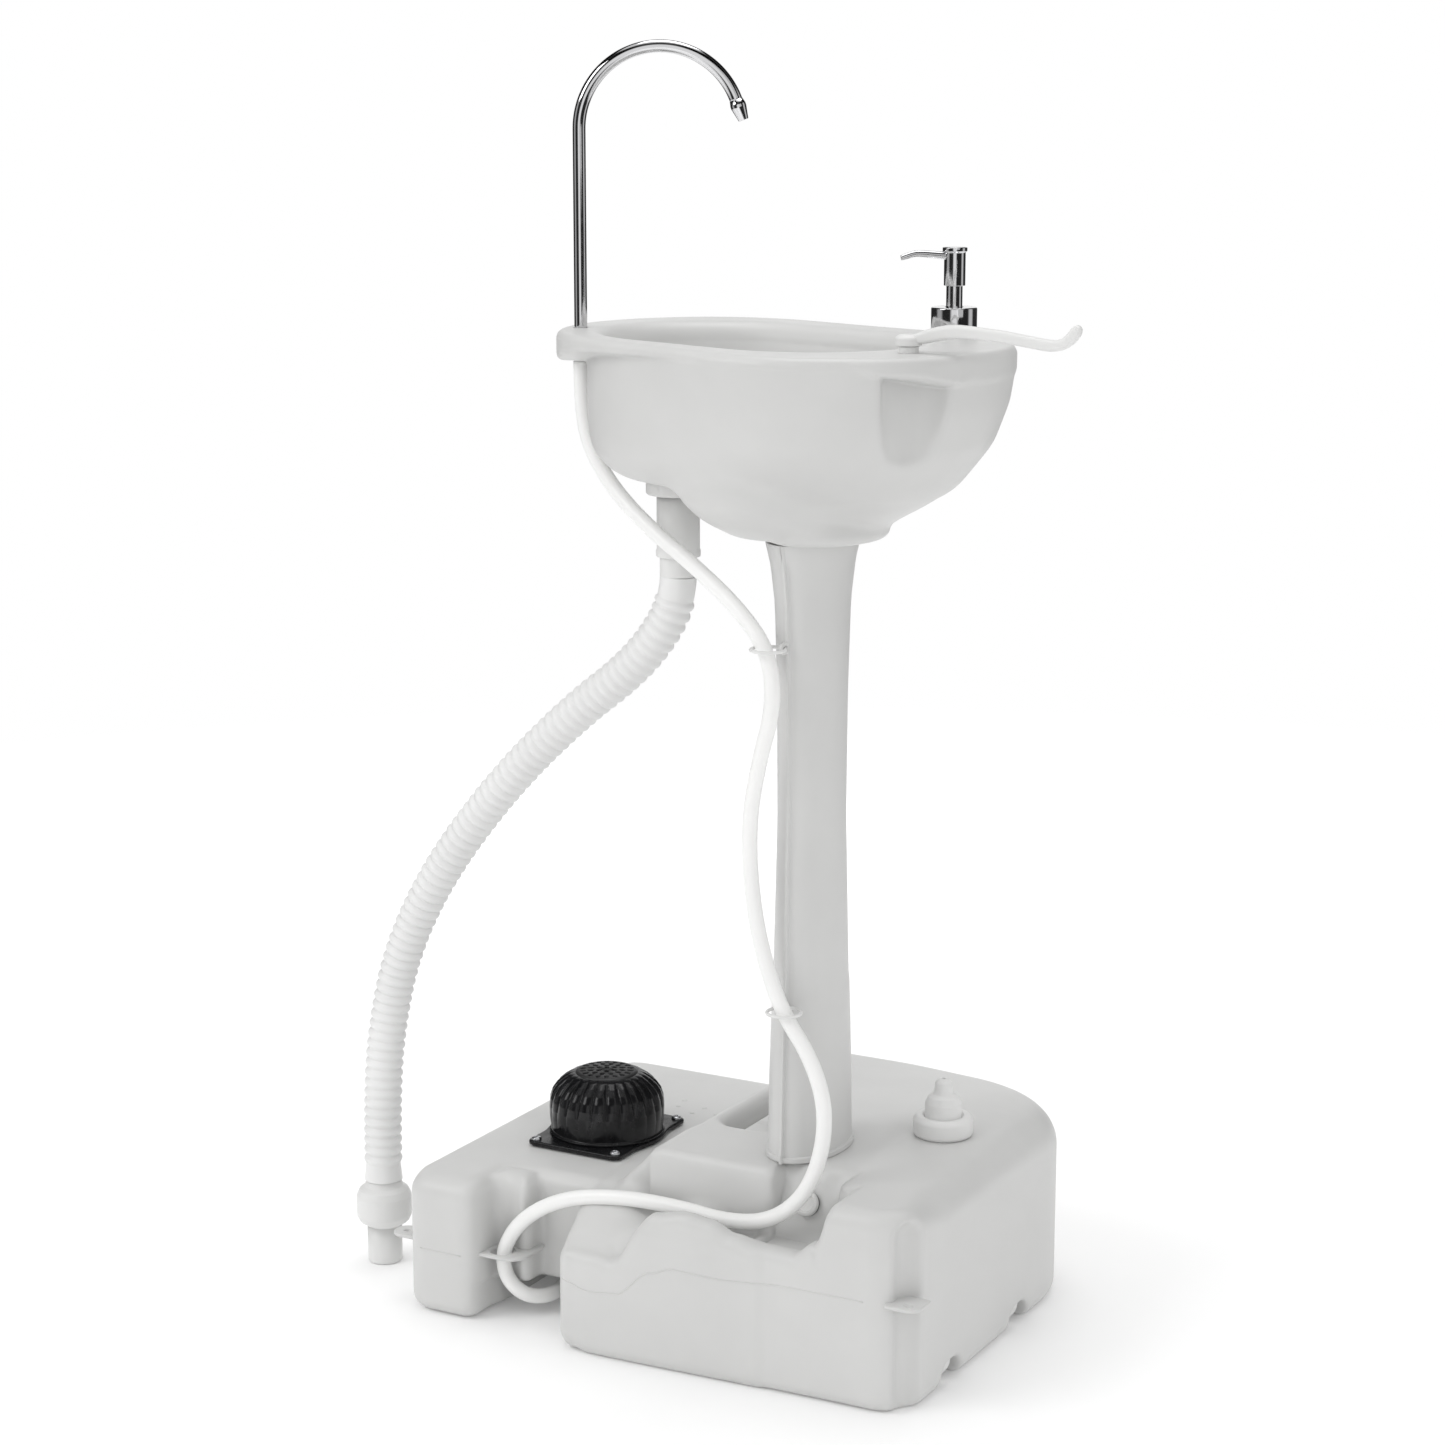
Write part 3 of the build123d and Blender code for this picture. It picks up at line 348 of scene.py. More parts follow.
def section_line(z, heights, values, soften):
    """A value that runs through a table over height, its corners softened over a few millimetres."""
    fine = np.arange(min(heights) - 40, max(heights) + 40, 1.0)
    order = np.argsort(heights)
    line = np.interp(fine, np.array(heights, float)[order], np.array(values, float)[order])
    reach = np.arange(-3 * soften, 3 * soften + 1)
    weight = np.exp(-(reach / soften) ** 2 / 2)
    padded = np.pad(line, 3 * soften, mode="edge")
    line = np.convolve(padded, weight / weight.sum(), mode="valid")
    return np.interp(z, fine, line)


def moulded(name, field, low, high, step, body, slot, finish=None):
    """The surface where a distance field is zero, as a mesh whose points and normals lie true on it."""
    axes = [np.arange(a - 3 * step, b + 3 * step, step) for a, b in zip(low, high)]
    grid = (axes[0][:, None, None], axes[1][None, :, None], axes[2][None, None, :])
    values = np.broadcast_to(field(grid), [len(axis) for axis in axes])
    volume = openvdb.FloatGrid(4.0 * step)
    volume.copyFromArray(np.ascontiguousarray(np.clip(values, -4 * step, 4 * step), dtype=np.float32))
    points, quads = volume.convertToQuads(0.0)
    points = points.astype(float) * step + [axis[0] for axis in axes]
    gap = 0.25

    def slope(at):
        grown = []
        for i in range(3):
            nudge = np.zeros(3)
            nudge[i] = gap
            grown.append(field(tuple((at + nudge).T)) - field(tuple((at - nudge).T)))
        return np.stack(grown, axis=1) / (2 * gap)

    for _ in range(3):
        rise = slope(points)
        size = np.maximum((rise ** 2).sum(axis=1), 0.05)
        move = (field(tuple(points.T)) / size)[:, None] * rise
        reach = np.linalg.norm(move, axis=1)
        points = points - move * np.minimum(1, 0.5 * step / np.maximum(reach, 1e-9))[:, None]
    normals = slope(points)
    normals /= np.maximum(np.linalg.norm(normals, axis=1), 1e-9)[:, None]
    corner = points[quads[:, 0]]
    facing = np.cross(points[quads[:, 1]] - corner, points[quads[:, 2]] - corner)
    if (facing * normals[quads[:, 0]]).sum() < 0:
        quads = quads[:, ::-1]
    return mesh_piece(name, points * MM, quads.tolist(), body, slot, finish, normals)


# ---------------------------------------------------------------- materials
def new_material(name, colour, roughness, metallic=0.0):
    material = bpy.data.materials.new(name)
    material.use_nodes = True
    shader = material.node_tree.nodes["Principled BSDF"]
    shader.inputs["Base Color"].default_value = (*colour, 1)
    shader.inputs["Roughness"].default_value = roughness
    shader.inputs["Metallic"].default_value = metallic
    return material, material.node_tree.nodes, material.node_tree.links, shader


def noise(nodes, links, scale, detail, stretch=(1, 1, 1)):
    """Noise over the object's own coordinates, in metres; scale is per metre."""
    place = nodes.new("ShaderNodeTexCoord")
    mapping = nodes.new("ShaderNodeMapping")
    mapping.inputs["Scale"].default_value = stretch
    cloud = nodes.new("ShaderNodeTexNoise")
    cloud.inputs["Scale"].default_value = scale
    cloud.inputs["Detail"].default_value = detail
    links.new(place.outputs["Object"], mapping.inputs["Vector"])
    links.new(mapping.outputs["Vector"], cloud.inputs["Vector"])
    return cloud.outputs["Fac"]


def ramp(nodes, links, value, low, high, start=0.3, end=0.7):
    """A colour ramp between two colours over a noise."""
    node = nodes.new("ShaderNodeValToRGB")
    node.color_ramp.elements[0].position = start
    node.color_ramp.elements[1].position = end
    node.color_ramp.elements[0].color = (*low, 1)
    node.color_ramp.elements[1].color = (*high, 1)
    links.new(value, node.inputs["Fac"])
    return node.outputs["Color"]


def rescaled(nodes, links, value, *ends):
    """A value that runs from the last two ends while the given one runs between the first two."""
    node = nodes.new("ShaderNodeMapRange")
    for name, end in zip(("From Min", "From Max", "To Min", "To Max"), ends):
        node.inputs[name].default_value = end
    links.new(value, node.inputs["Value"])
    return node.outputs["Result"]


def vary_roughness(nodes, links, shader, value, low, high):
    links.new(rescaled(nodes, links, value, 0.3, 0.7, low, high), shader.inputs["Roughness"])


def bumps(nodes, links, shader, layers):
    """Stacks bump layers of (height value, depth in metres, strength)."""
    normal = None
    for value, depth, strength in layers:
        bump = nodes.new("ShaderNodeBump")
        bump.inputs["Distance"].default_value = depth
        bump.inputs["Strength"].default_value = strength
        links.new(value, bump.inputs["Height"])
        if normal is not None:
            links.new(normal, bump.inputs["Normal"])
        normal = bump.outputs["Normal"]
    links.new(normal, shader.inputs["Normal"])


def moulded_plastic(name, colour, roughness, mottle=0.03, grain=0.00006, wave=0.0006, sheen_through=0.05):
    """Moulded plastic: faint clouding, slow waviness of the wall, fine satin grain."""
    material, nodes, links, shader = new_material(name, colour, roughness)
    cloud = noise(nodes, links, 11, 4)
    dark = tuple(c * (1 - mottle) for c in colour)
    light = tuple(min(1, c * (1 + mottle)) for c in colour)
    links.new(ramp(nodes, links, cloud, dark, light), shader.inputs["Base Color"])
    vary_roughness(nodes, links, shader, noise(nodes, links, 45, 3), roughness - 0.05, roughness + 0.06)
    bumps(nodes, links, shader, [(noise(nodes, links, 16, 1), wave, 0.35),
                                 (noise(nodes, links, 1500, 2), grain, 0.35)])
    shader.inputs["Subsurface Weight"].default_value = sheen_through
    shader.inputs["Subsurface Radius"].default_value = (0.004, 0.004, 0.0038)
    return material


def rubber(name, colour, low, high, grain, shine=0.35):
    material, nodes, links, shader = new_material(name, colour, low)
    cloud = noise(nodes, links, 60, 4)
    links.new(ramp(nodes, links, cloud, colour, tuple(c * 2.2 for c in colour)), shader.inputs["Base Color"])
    vary_roughness(nodes, links, shader, noise(nodes, links, 90, 5), low, high)
    bumps(nodes, links, shader, [(noise(nodes, links, 240, 3), grain, 0.3)])
    shader.inputs["Specular IOR Level"].default_value = shine
    return material


def polished(name, colour, low, high, brushed=0.0):
    """Metal with faint smears in its gloss; brushed metal has long scratches round it."""
    material, nodes, links, shader = new_material(name, colour, low, 1.0)
    cloud = noise(nodes, links, 30, 4)
    links.new(ramp(nodes, links, cloud, tuple(c * 0.94 for c in colour), colour), shader.inputs["Base Color"])
    vary_roughness(nodes, links, shader, noise(nodes, links, 80, 5), low, high)
    if brushed:
        bumps(nodes, links, shader, [(noise(nodes, links, 500, 2, (1, 1, 12)), brushed, 0.3)])
    return material


HDPE = (0.62, 0.62, 0.612)
WHITE = (0.74, 0.74, 0.732)
HOSE_WHITE = (0.88, 0.88, 0.87)
DRAIN_WHITE = (0.79, 0.79, 0.785)
FINISH = {
    "grey_hdpe": moulded_plastic("grey_hdpe_finish", HDPE, 0.42),
    "white_plastic": moulded_plastic("white_plastic_finish", WHITE, 0.40, wave=0.0002),
    "plug": moulded_plastic("plug_finish", (0.66, 0.66, 0.65), 0.40, wave=0.0002),
    "white_hose": moulded_plastic("white_hose_finish", HOSE_WHITE, 0.34, wave=0.0002, sheen_through=0.12),
    "drain_hose": moulded_plastic("drain_hose_finish", DRAIN_WHITE, 0.38, wave=0.0002, sheen_through=0.03),
    "black_rubber": rubber("black_rubber_finish", (0.005, 0.005, 0.0055), 0.13, 0.30, 0.00008),
    "tread_rubber": rubber("tread_rubber_finish", (0.014, 0.014, 0.0145), 0.38, 0.52, 0.0001, 0.55),
    "black_plastic": rubber("black_plastic_finish", (0.005, 0.005, 0.0055), 0.16, 0.34, 0.00005),
    "chrome": polished("chrome_finish", (0.72, 0.72, 0.73), 0.045, 0.11),
    "zinc_steel": polished("zinc_steel_finish", (0.66, 0.67, 0.69), 0.22, 0.38, 0.00003),
    "seal_rubber": rubber("seal_rubber_finish", (0.03, 0.03, 0.03), 0.55, 0.7, 0.0001),
}


def dress_cad_nodes():
    """Gives each CAD node that still shows the finish of its record slot."""
    slots = {row["node"]: row["material_slot"] for row in frame["record"]["subparts"]}
    for node, piece in frame["nodes"].items():
        piece.data.materials.clear()
        piece.data.materials.append(FINISH[slots[node]])


dress_cad_nodes()

# ---------------------------------------------------------------- tank
tank_low, tank_high = low_high("tank_shell")
CORNER_TAB = 20
LEFT, RIGHT = tank_low[0] + CORNER_TAB, tank_high[0]
FRONT, BACK = tank_low[1], tank_high[1]
LOBE_FRONT = -105
TOP = low_high("filler_nut")[0][2] - 0.4
PLATFORM = low_high("pump_gasket")[0][2]
BLOCK_LEFT, BLOCK_FRONT = -108, -66
LOBE_RIGHT = -245
NOTCH_RIGHT, NOTCH_BACK = -166, -57
TUNNEL_TOP, TUNNEL_BACK = 28, 115
SHELF = 104
CHANNEL_X = 141
HANDLE_FRONT, HANDLE_BACK = 16, 138
HANDLE_RIGHT, BAR_RIGHT = -44, -90
PLUG = middle("drain_plug")
PLUG_LEAN = np.array((0, -0.920967, 0.38964))
wheels = [middle("wheel_front"), middle("wheel_back")]
# Height of the front wall's top along X: low end, hump that holds the hose in, shelf, sweep up.
FRONT_LINE = [
    (NOTCH_RIGHT, 83), (-118, 77), (-74, 125), (-50, 130), (-28, 127), (-8, 119), (16, 114), (42, 113),
    (60, 124), (84, 190)
]


def shelf_height(x, y):
    """Top surface in front of the raised block: front wall, trough behind its hump, slope at its low end."""
    crest = smooth_line(x, FRONT_LINE)
    behind = SHELF + (crest - SHELF) * ease(x, -12, 12, 0, 1)
    behind_hump = crest + (behind - crest) * ease(y, FRONT + 12, FRONT + 26, 0, 1)
    low_end = ease(y, FRONT + 6, NOTCH_BACK - 8, 84, PLATFORM + 4)
    share = ease(x, -128, -92, 0, 1)
    return low_end * (1 - share) + behind_hump * share


def above_shelf(x, y, z):
    """Distance above that surface."""
    rise_x = (shelf_height(x + 1, y) - shelf_height(x - 1, y)) / 2
    rise_y = (shelf_height(x, y + 1) - shelf_height(x, y - 1)) / 2
    return (z - shelf_height(x, y)) / np.sqrt(1 + rise_x ** 2 + rise_y ** 2)


def tank_field(p):
    x, y, z = p
    # The front face stands further forward towards its right end.
    y = y + ease(y, -84, -108, 0, 1) * ease(x, 110, -170, -2.5, 6)
    p = (x, y, z)
    top_edge = 12 + ease(x, -40, 80, 0, 14) * ease(y, -105, -45, 0.25, 1) + ease(y, 120, 240, 0, 12)
    # The raised block's left face leans, in front of the carry bar.
    lean = ease(z, PLATFORM - 4, TOP, 36, 3) * ease(x, -100, -50, 1, 0) * ease(y, -12, 12, 1, 0)
    raised = block((x + lean, y, z), (BLOCK_LEFT, RIGHT), (FRONT, BACK), (0, TOP), (12, 34, 100, 28),
                   top_edge, 12)
    platform = block(p, (LEFT, 0), (LOBE_FRONT, BACK), (0, PLATFORM), (26, 12, 12, 32), 17, 13)
    low_end = block(p, (NOTCH_RIGHT, 20), (FRONT, 60), (0, PLATFORM), (18, 8, 8, 8), 10, 16)
    form = join(join(platform, low_end, 6), raised, 7)
    # Shelf, trough and low end in front of the raised block.
    in_front = y - BLOCK_FRONT
    in_front = np.where(x < BLOCK_LEFT, np.minimum(in_front, y - NOTCH_BACK), in_front)
    shelf = -join(-in_front, above_shelf(x, y, z), 10)
    beside_notch = NOTCH_RIGHT + 1 - x
    shelf = np.maximum(shelf, beside_notch)
    # Soft swelling of the block's wall behind the hump.
    swelling = np.sqrt(((x + 60) / 1.6) ** 2 + (y + 64) ** 2 + (z - 108) ** 2) - 9
    form = join(cut(form, shelf, 10), swelling, 10)
    # Recess with the sloped face of the drain plug, and finger scoops beside the plug.
    slope = -((y - PLUG[1] + 1) * PLUG_LEAN[1] + (z - PLUG[2] + 3) * PLUG_LEAN[2])
    recess = np.maximum(np.maximum(slope, np.abs(x - 29) - 25), np.maximum(SHELF + 1 - z, FRONT + 24 - y))
    form = cut(form, recess, 12)
    scoops = np.minimum(rod(p, (10, -50, 156), (13, -68, 138), 9), rod(p, (47, -52, 154), (45, -68, 138), 8))
    form = cut(form, scoops, 5)
    # Notch for the hose, with a corner web that the hose stands in, and the tunnel to the pump.
    notch = rounded_plan(x, y, LOBE_RIGHT, NOTCH_RIGHT, -220, NOTCH_BACK, (8, 8, 8, 8))
    web = rounded_plan(x, y, LOBE_RIGHT - 10, -214, -79, NOTCH_BACK + 10, (2, 9, 9, 2))
    web = cut(web, np.hypot(x + 234, y + 90) - 16, 6)
    notch = cut(notch, web, 6)
    form = cut(form, np.broadcast_to(notch, np.shape(form)), 16)
    tunnel = np.maximum(rounded_plan(x, y, LOBE_RIGHT, NOTCH_RIGHT, -220, TUNNEL_BACK, (8, 8, 8, 8)),
                        z - TUNNEL_TOP)
    form = cut(form, tunnel, 6)
    # Carry bar: finger pocket on its right, gap beneath it.
    pocket = block(p, (BAR_RIGHT, HANDLE_RIGHT), (HANDLE_FRONT, HANDLE_BACK), (PLATFORM - 4, 220), 14, 1, 8)
    under_bar = block(p, (BLOCK_LEFT - 30, BAR_RIGHT + 10), (HANDLE_FRONT, HANDLE_BACK),
                      (PLATFORM - 0.5, PLATFORM + 20), 3, 8, 1)
    form = cut(cut(form, pocket, 11), under_bar, 5)
    # Channel down the front right corner.
    channel = rod(p, (CHANNEL_X, FRONT + 14, 138), (CHANNEL_X, FRONT + 14, -60), 16)
    form = cut(form, channel, 5)
    # Wheel wells, open below, and the relief in the wall over each wheel.
    for wheel in wheels:
        well = block(p, (wheel[0] - 21, RIGHT - 3), (wheel[1] - 9, wheel[1] + 9), (-30, 39), 4, 3, 1)
        relief = block(p, (wheel[0] - 10, RIGHT + 30), (wheel[1] - 19, wheel[1] + 19), (-30, 19), 4, 14, 1)
        form = cut(form, np.minimum(well, relief), 4)
    # Soft valley across the top, behind the column's right side.
    fold = ((x - 55) * 0.996 + (y + 60) * 0.05)
    dip = 1.6 * np.exp(-(fold / 9) ** 2) * ease(y, -70, -40, 0, 1) * ease(y, 60, 100, 1, 0)
    return np.maximum(form + dip * ease(z, TOP - 20, TOP - 4, 0, 1), -z)


tank = moulded("tank_body", tank_field, (LEFT, FRONT, 0), (RIGHT, BACK, TOP), 2.5, "base", "grey_hdpe")
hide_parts("tank_shell")


# Thin tabs at the tank's parting line: one that the hose passes through, one at the left corner, one in
# the front right channel; each has a hole.
def tab(name, xs, ys, height, corners, hole, hole_r):
    def field(p):
        plate = block(p, xs, ys, (height - 1.5, height + 1.5), corners, 1.2, 1.2)
        return cut(plate, np.hypot(p[0] - hole[0], p[1] - hole[1]) - hole_r, 1.2)

    return moulded(name, field, (xs[0], ys[0], height - 2), (xs[1], ys[1], height + 2), 1.0, "base",
                   "grey_hdpe")


PARTING_Z, CHANNEL_TAB_Z = 55, 88
tab("tab_hose", (LOBE_RIGHT - 12, -209), (-101, -58), PARTING_Z, (4, 16, 4, 2), (-233, -86), 10)
tab("tab_corner", (tank_low[0], LEFT + 16), (-96, -74), PARTING_Z, (10, 2, 2, 10), (LEFT - 9, -85), 3)
tab("tab_channel", (CHANNEL_X - 20, CHANNEL_X + 8), (FRONT + 1, FRONT + 28), CHANNEL_TAB_Z, (4, 10, 2, 2),
    (CHANNEL_X - 3, FRONT + 10), 3)

# Height of the parting bead along the front wall.
PARTING_LINE = [(-157, 60), (-128, 55), (-106, 57), (-74, 80), (-56, 86), (-20, 85), (40, 88), (104, 88)]


def bead(name, starts, inward):
    """A fine raised bead on the tank's surface, reached from points outside it by going inward."""
    places, inward = np.array(starts, float), np.array(inward, float)
    for _ in range(60):
        places = places + np.clip(tank_field(tuple(places.T)), -3, 3)[:, None] * inward * 0.8
    sweep(name, places * MM, [circle_ring(0.00055, 8)] * len(places), "base", "grey_hdpe")


front_xs = np.arange(NOTCH_RIGHT + 9, 107, 3.0)
bead("parting_bead_front", np.stack([front_xs, np.full(len(front_xs), FRONT - 4.0),
                                     smooth_line(front_xs, PARTING_LINE)], axis=1), (0, 1, 0))
lobe_xs = np.arange(LEFT + 20, LOBE_RIGHT - 10, 3.0)
bead("parting_bead_lobe", np.stack([lobe_xs, np.full(len(lobe_xs), FRONT - 4.0),
                                    np.full(len(lobe_xs), PARTING_Z)], axis=1), (0, 1, 0))

# Small raised grip dots behind the pump.
DOTS = [
    (-202, 157), (-177, 147), (-199, 141), (-180, 131), (-160, 137), (-158, 121), (-222, 150), (-221, 134),
    (-242, 143), (-241, 158)
]


def dots_field(p):
    x, y, z = p
    nearest = np.minimum.reduce([np.hypot(x - a, y - b) for a, b in DOTS])
    return np.sqrt(nearest ** 2 + (2.2 * (z - PLATFORM + 0.3)) ** 2) - 2.4


moulded("grip_dots", dots_field, (-246, 117, PLATFORM - 2), (-154, 162, PLATFORM + 1.4), 0.8, "base",
        "grey_hdpe")

# ---------------------------------------------------------------- basin
DECK_UNDER, DECK_TOP = (corner[2] for corner in low_high("faucet_grommet"))
DECK_EGG = ((-98, 34, 127), (12, 12, 134))
# Outer wall, belly and inside of the bowl: height, left circle (x, y, r), right circle (x, y, r).
WALL_TABLE = [(770, (-73, 32, 124), (12, 12, 134)), (744, (-73, 32, 124), (12, 12, 130)),
              (714, (-73, 31, 123), (12, 12, 119)), (699, (-73, 30, 118), (12, 12, 108)),
              (688, (-72, 30, 110), (12, 12, 97)), (678, (-70, 30, 96), (12, 12, 86))]
BELLY_TABLE = [(700, (-34, -10, 76), (40, 10, 74)), (684, (-30, -18, 72), (38, 10, 70)),
               (668, (-26, -22, 66), (28, 8, 59)), (655, (-20, -20, 58), (16, 8, 46)),
               (644, (-12, -14, 46), (12, 4, 36))]
SPACE_TABLE = [(792, (-94, 26, 89), (-18, 16, 91)), (760, (-94, 24, 82), (-20, 16, 84)),
               (730, (-96, 20, 73), (-26, 15, 74)), (710, (-100, 16, 62), (-36, 14, 61)),
               (699, (-106, 12, 50), (-48, 13, 47)), (691, (-114, 10, 38), (-62, 12, 33))]
UNDERSIDE, BELLY_FOOT, BOWL_FLOOR = 680, 643, 692
BOSS_FOOT, BOSS_X, BOSS_A, BOSS_B = 640, 13, 43, 58
TOP_RIGHT, TOP_LEFT = DECK_TOP + 0.2, DECK_TOP + 4
WASTE, SOAP, TAP = middle("bowl_strainer"), middle("soap_collar"), middle("faucet_grommet")
POST = middle("towel_post")
SCALLOP_X, SCALLOP_Y, SCALLOP_R, SCALLOP_FOOT = 124, -73, 30, 717


def table_egg(x, y, z, table, soften=4):
    """Plan distance to the egg whose two circles follow a table over height."""
    heights = [row[0] for row in table]
    circles = [[section_line(z, heights, [row[side][i] for row in table], soften) for i in range(3)]
               for side in (1, 2)]
    return egg(x, y, *circles)


def basin_field(p):
    x, y, z = p
    from_scallop = np.hypot(x - SCALLOP_X, y - SCALLOP_Y)
    near = np.exp(-(from_scallop / 44) ** 6)
    top = z - ease(x, 60, -190, TOP_RIGHT, TOP_LEFT)
    under = DECK_UNDER + ease(y, -10, -85, 0, 14) - 8 * near
    deck = meet(meet(egg(x, y, *DECK_EGG) - 3.5 * near, top, 7), under - z, 5)
    wall = meet(meet(table_egg(x, y, z, WALL_TABLE), UNDERSIDE - z, 8), top + 6, 2)
    belly = meet(meet(table_egg(x, y, z, BELLY_TABLE), BELLY_FOOT - z, 9), z - 720, 2)
    boss = meet(meet(oval(x - BOSS_X, y, BOSS_A, BOSS_B), BOSS_FOOT - z, 9), z - 662, 8)
    form = join(join(join(wall, belly, 12), boss, 6), deck, 3)
    scallop = meet(rod(p, (SCALLOP_X, SCALLOP_Y, 820), (SCALLOP_X, SCALLOP_Y, SCALLOP_FOOT), SCALLOP_R),
                   z - under, 2)
    form = cut(form, scallop, 5)
    space = meet(table_egg(x, y, z, SPACE_TABLE, 6), BOWL_FLOOR - z, 7)
    form = cut(form, space, 13)
    form = cut(form, np.hypot(x - WASTE[0], y - WASTE[1]) - 17.8, 0.8)
    tap_hole = np.hypot(x - TAP[0], y - TAP[1]) - np.where(z < DECK_TOP + 1.4, 8.6, 5.4)
    soap_hole = np.maximum(np.hypot(x - SOAP[0], y - SOAP[1]) - 12.3, 731 - z)
    post_hole = np.maximum(np.hypot(x - POST[0], y - POST[1]) - 4, DECK_TOP - 5 - z)
    return np.maximum(form, -np.minimum(np.minimum(tap_hole, soap_hole), post_hole))


basin_low, basin_high = low_high("basin_shell")
basin = moulded("basin_body", basin_field, basin_low, basin_high, 2.4, "base", "grey_hdpe")
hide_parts("basin_shell")

# ---------------------------------------------------------------- column
PILLAR = [
    (158, 28.0), (220, 27.3), (292, 25.5), (294, 25.0), (422, 22.5), (520, 23.0), (592, 24.6), (622, 27.5),
    (640, 31.0)
]
OVAL = 1.68
FOOT_Z, FOOT_A, FOOT_B = 158.1, 30.0, 49.0
FIN_REACH = 3.5


def pillar_ring(z, half, half_deep, tip):
    """One level of the oval pillar with a thin fin at its front and back, in mm."""
    across = [(-3.0, 0.0), (-1.9, 0.25), (-1.5, 0.8), (-1.4, -0.6), (-0.9, 0.0), (0.9, 0.0), (1.4, -0.6),
              (1.5, 0.8), (1.9, 0.25), (3.0, 0.0)]
    edge = [half_deep * sqrt(1 - (x / half) ** 2) for x, _ in across]
    front = []
    for i, ((x, off), body) in enumerate(zip(across, edge)):
        out = tip + off if i in (3, 4, 5, 6) else body + off
        front.append((x, -max(out, body)))
    start = np.arccos(3.0 / half)
    arc = np.linspace(-start, start, 34)[1:-1]
    right = [(half * cos(a), half_deep * sin(a)) for a in arc]
    back = [(-x, -y) for x, y in front]
    left = [(-x, -y) for x, y in right]
    return [(x, y, z) for x, y in front + right + back + left]


def sharpen(piece, degrees_over):
    """Keeps edges steeper than an angle crisp in shading."""
    form = bmesh.new()
    form.from_mesh(piece.data)
    bmesh.ops.recalc_face_normals(form, faces=form.faces)
    for edge in form.edges:
        if len(edge.link_faces) == 2 and edge.calc_face_angle() > radians(degrees_over):
            edge.smooth = False
    form.to_mesh(piece.data)
    form.free()


def pillar_half(z):
    return float(section_line(np.array(float(z)), *zip(*PILLAR), 2))


levels = [pillar_ring(z, a, b, FOOT_B + 2.2) for z, a, b in
          ((FOOT_Z, FOOT_A - 0.8, FOOT_B - 0.8), (FOOT_Z + 0.9, FOOT_A, FOOT_B), (162, FOOT_A, FOOT_B),
           (162.8, FOOT_A - 0.7, FOOT_B - 0.7))]
for z in [163.2, 168, *np.arange(176, 286, 12), 289, 292, 294, 297, *np.arange(308, 600, 12), 604, 612, 618,
          624, 628, 632, 635, 637.5, 639.8]:
    half = pillar_half(z)
    tip = half * OVAL + FIN_REACH + ease(z, 163, 170, 2.0, 0) - ease(z, 622, 634, 0, 4)
    levels.append(pillar_ring(z, half, half * OVAL, tip))
column = mesh_piece("column_body", np.array(levels).reshape(-1, 3) * MM,
                    tube_faces(len(levels), len(levels[0])), "base", "grey_hdpe")
sharpen(column, 40)
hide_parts("column")

for level in ("upper", "lower"):
    tie_low, tie_high = low_high(f"hose_tie_{level}")
    tie_x, tie_y, tie_z = (tie_low + tie_high) / 2
    ring_r = (tie_high[0] - tie_low[0]) / 2 - 1.3
    hole_y = tie_y + sqrt(ring_r ** 2 - tie_x ** 2)

    def lug_field(p):
        x, y, z = p
        reach = np.hypot(np.maximum(np.abs(y - hole_y - 2) - 3.5, 0), z - tie_z) - 4.8
        plate = meet(reach, np.abs(x) - 1.5, 1.2)
        hole = np.hypot(np.maximum(np.abs(y - hole_y) - 1.6, 0), z - tie_z) - 1.9
        return cut(plate, hole, 0.8)

    moulded(f"tie_lug_{level}", lug_field, (-2, hole_y - 9, tie_z - 6), (2, hole_y + 12, tie_z + 6), 0.6,
            "base",
            "grey_hdpe")

# ---------------------------------------------------------------- hoses' tubes and waste fittings
water_line, _ = spaced(spline_points(WATER_ROUTE, 24), 0.0025)
water_hose = sweep("water_hose_tube", water_line, [circle_ring(WATER_HOSE_D / 2, 28)] * len(water_line),
                   "base",
                   "white_hose")
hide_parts("water_hose")

PITCH, TOP_NECK, FOOT_NECK = 0.0083, 0.017, 0.014
drain_line, drain_along = spaced(spline_points(DRAIN_ROUTE, 40), PITCH / 10)


def ridge_radius(along):
    """Outer radius of the corrugated hose; both its ends are plain."""
    end = drain_along[-1]
    ridge = 0.0135 + 0.0025 * sqrt(0.5 - 0.5 * cos(2 * pi * (along - TOP_NECK) / PITCH))
    plain = 0.0144 + 0.0014 * max(0, (along - end + FOOT_NECK) / FOOT_NECK)
    inside = min(1, max(0, (along - TOP_NECK) / 0.002)) * min(1, max(0, (end - FOOT_NECK - along) / 0.002))
    return plain + (ridge - plain) * inside


drain_hose = sweep("drain_hose_tube", drain_line, [circle_ring(ridge_radius(s), 44) for s in drain_along],
                   "base",
                   "white_plastic", finish="drain_hose")
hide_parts("drain_hose")

END = middle("waste_spigot")
nut = turned("waste_nut_ring", [
    (9, 72.4), (13.5, 72.2), (16.5, 66.5), (20.5, 63.5, 2), (23, 58, 4), (23, 41, 4), (20.5, 35.5, 3),
    (15, 33.6, 1), (14.8, 32, 0), (9, 32)
], below(END), "base", "white_plastic", 2.0, 96)
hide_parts("waste_nut")
spigot = turned("waste_spigot_tube", [
    (11.6, 33), (14.5, 33, 0), (14.5, 0.5, 0.8), (11.6, 0.5, 0.8), (11.6, 33)
], below(END), "base", "white_plastic", 0.5, 72)
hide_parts("waste_spigot")

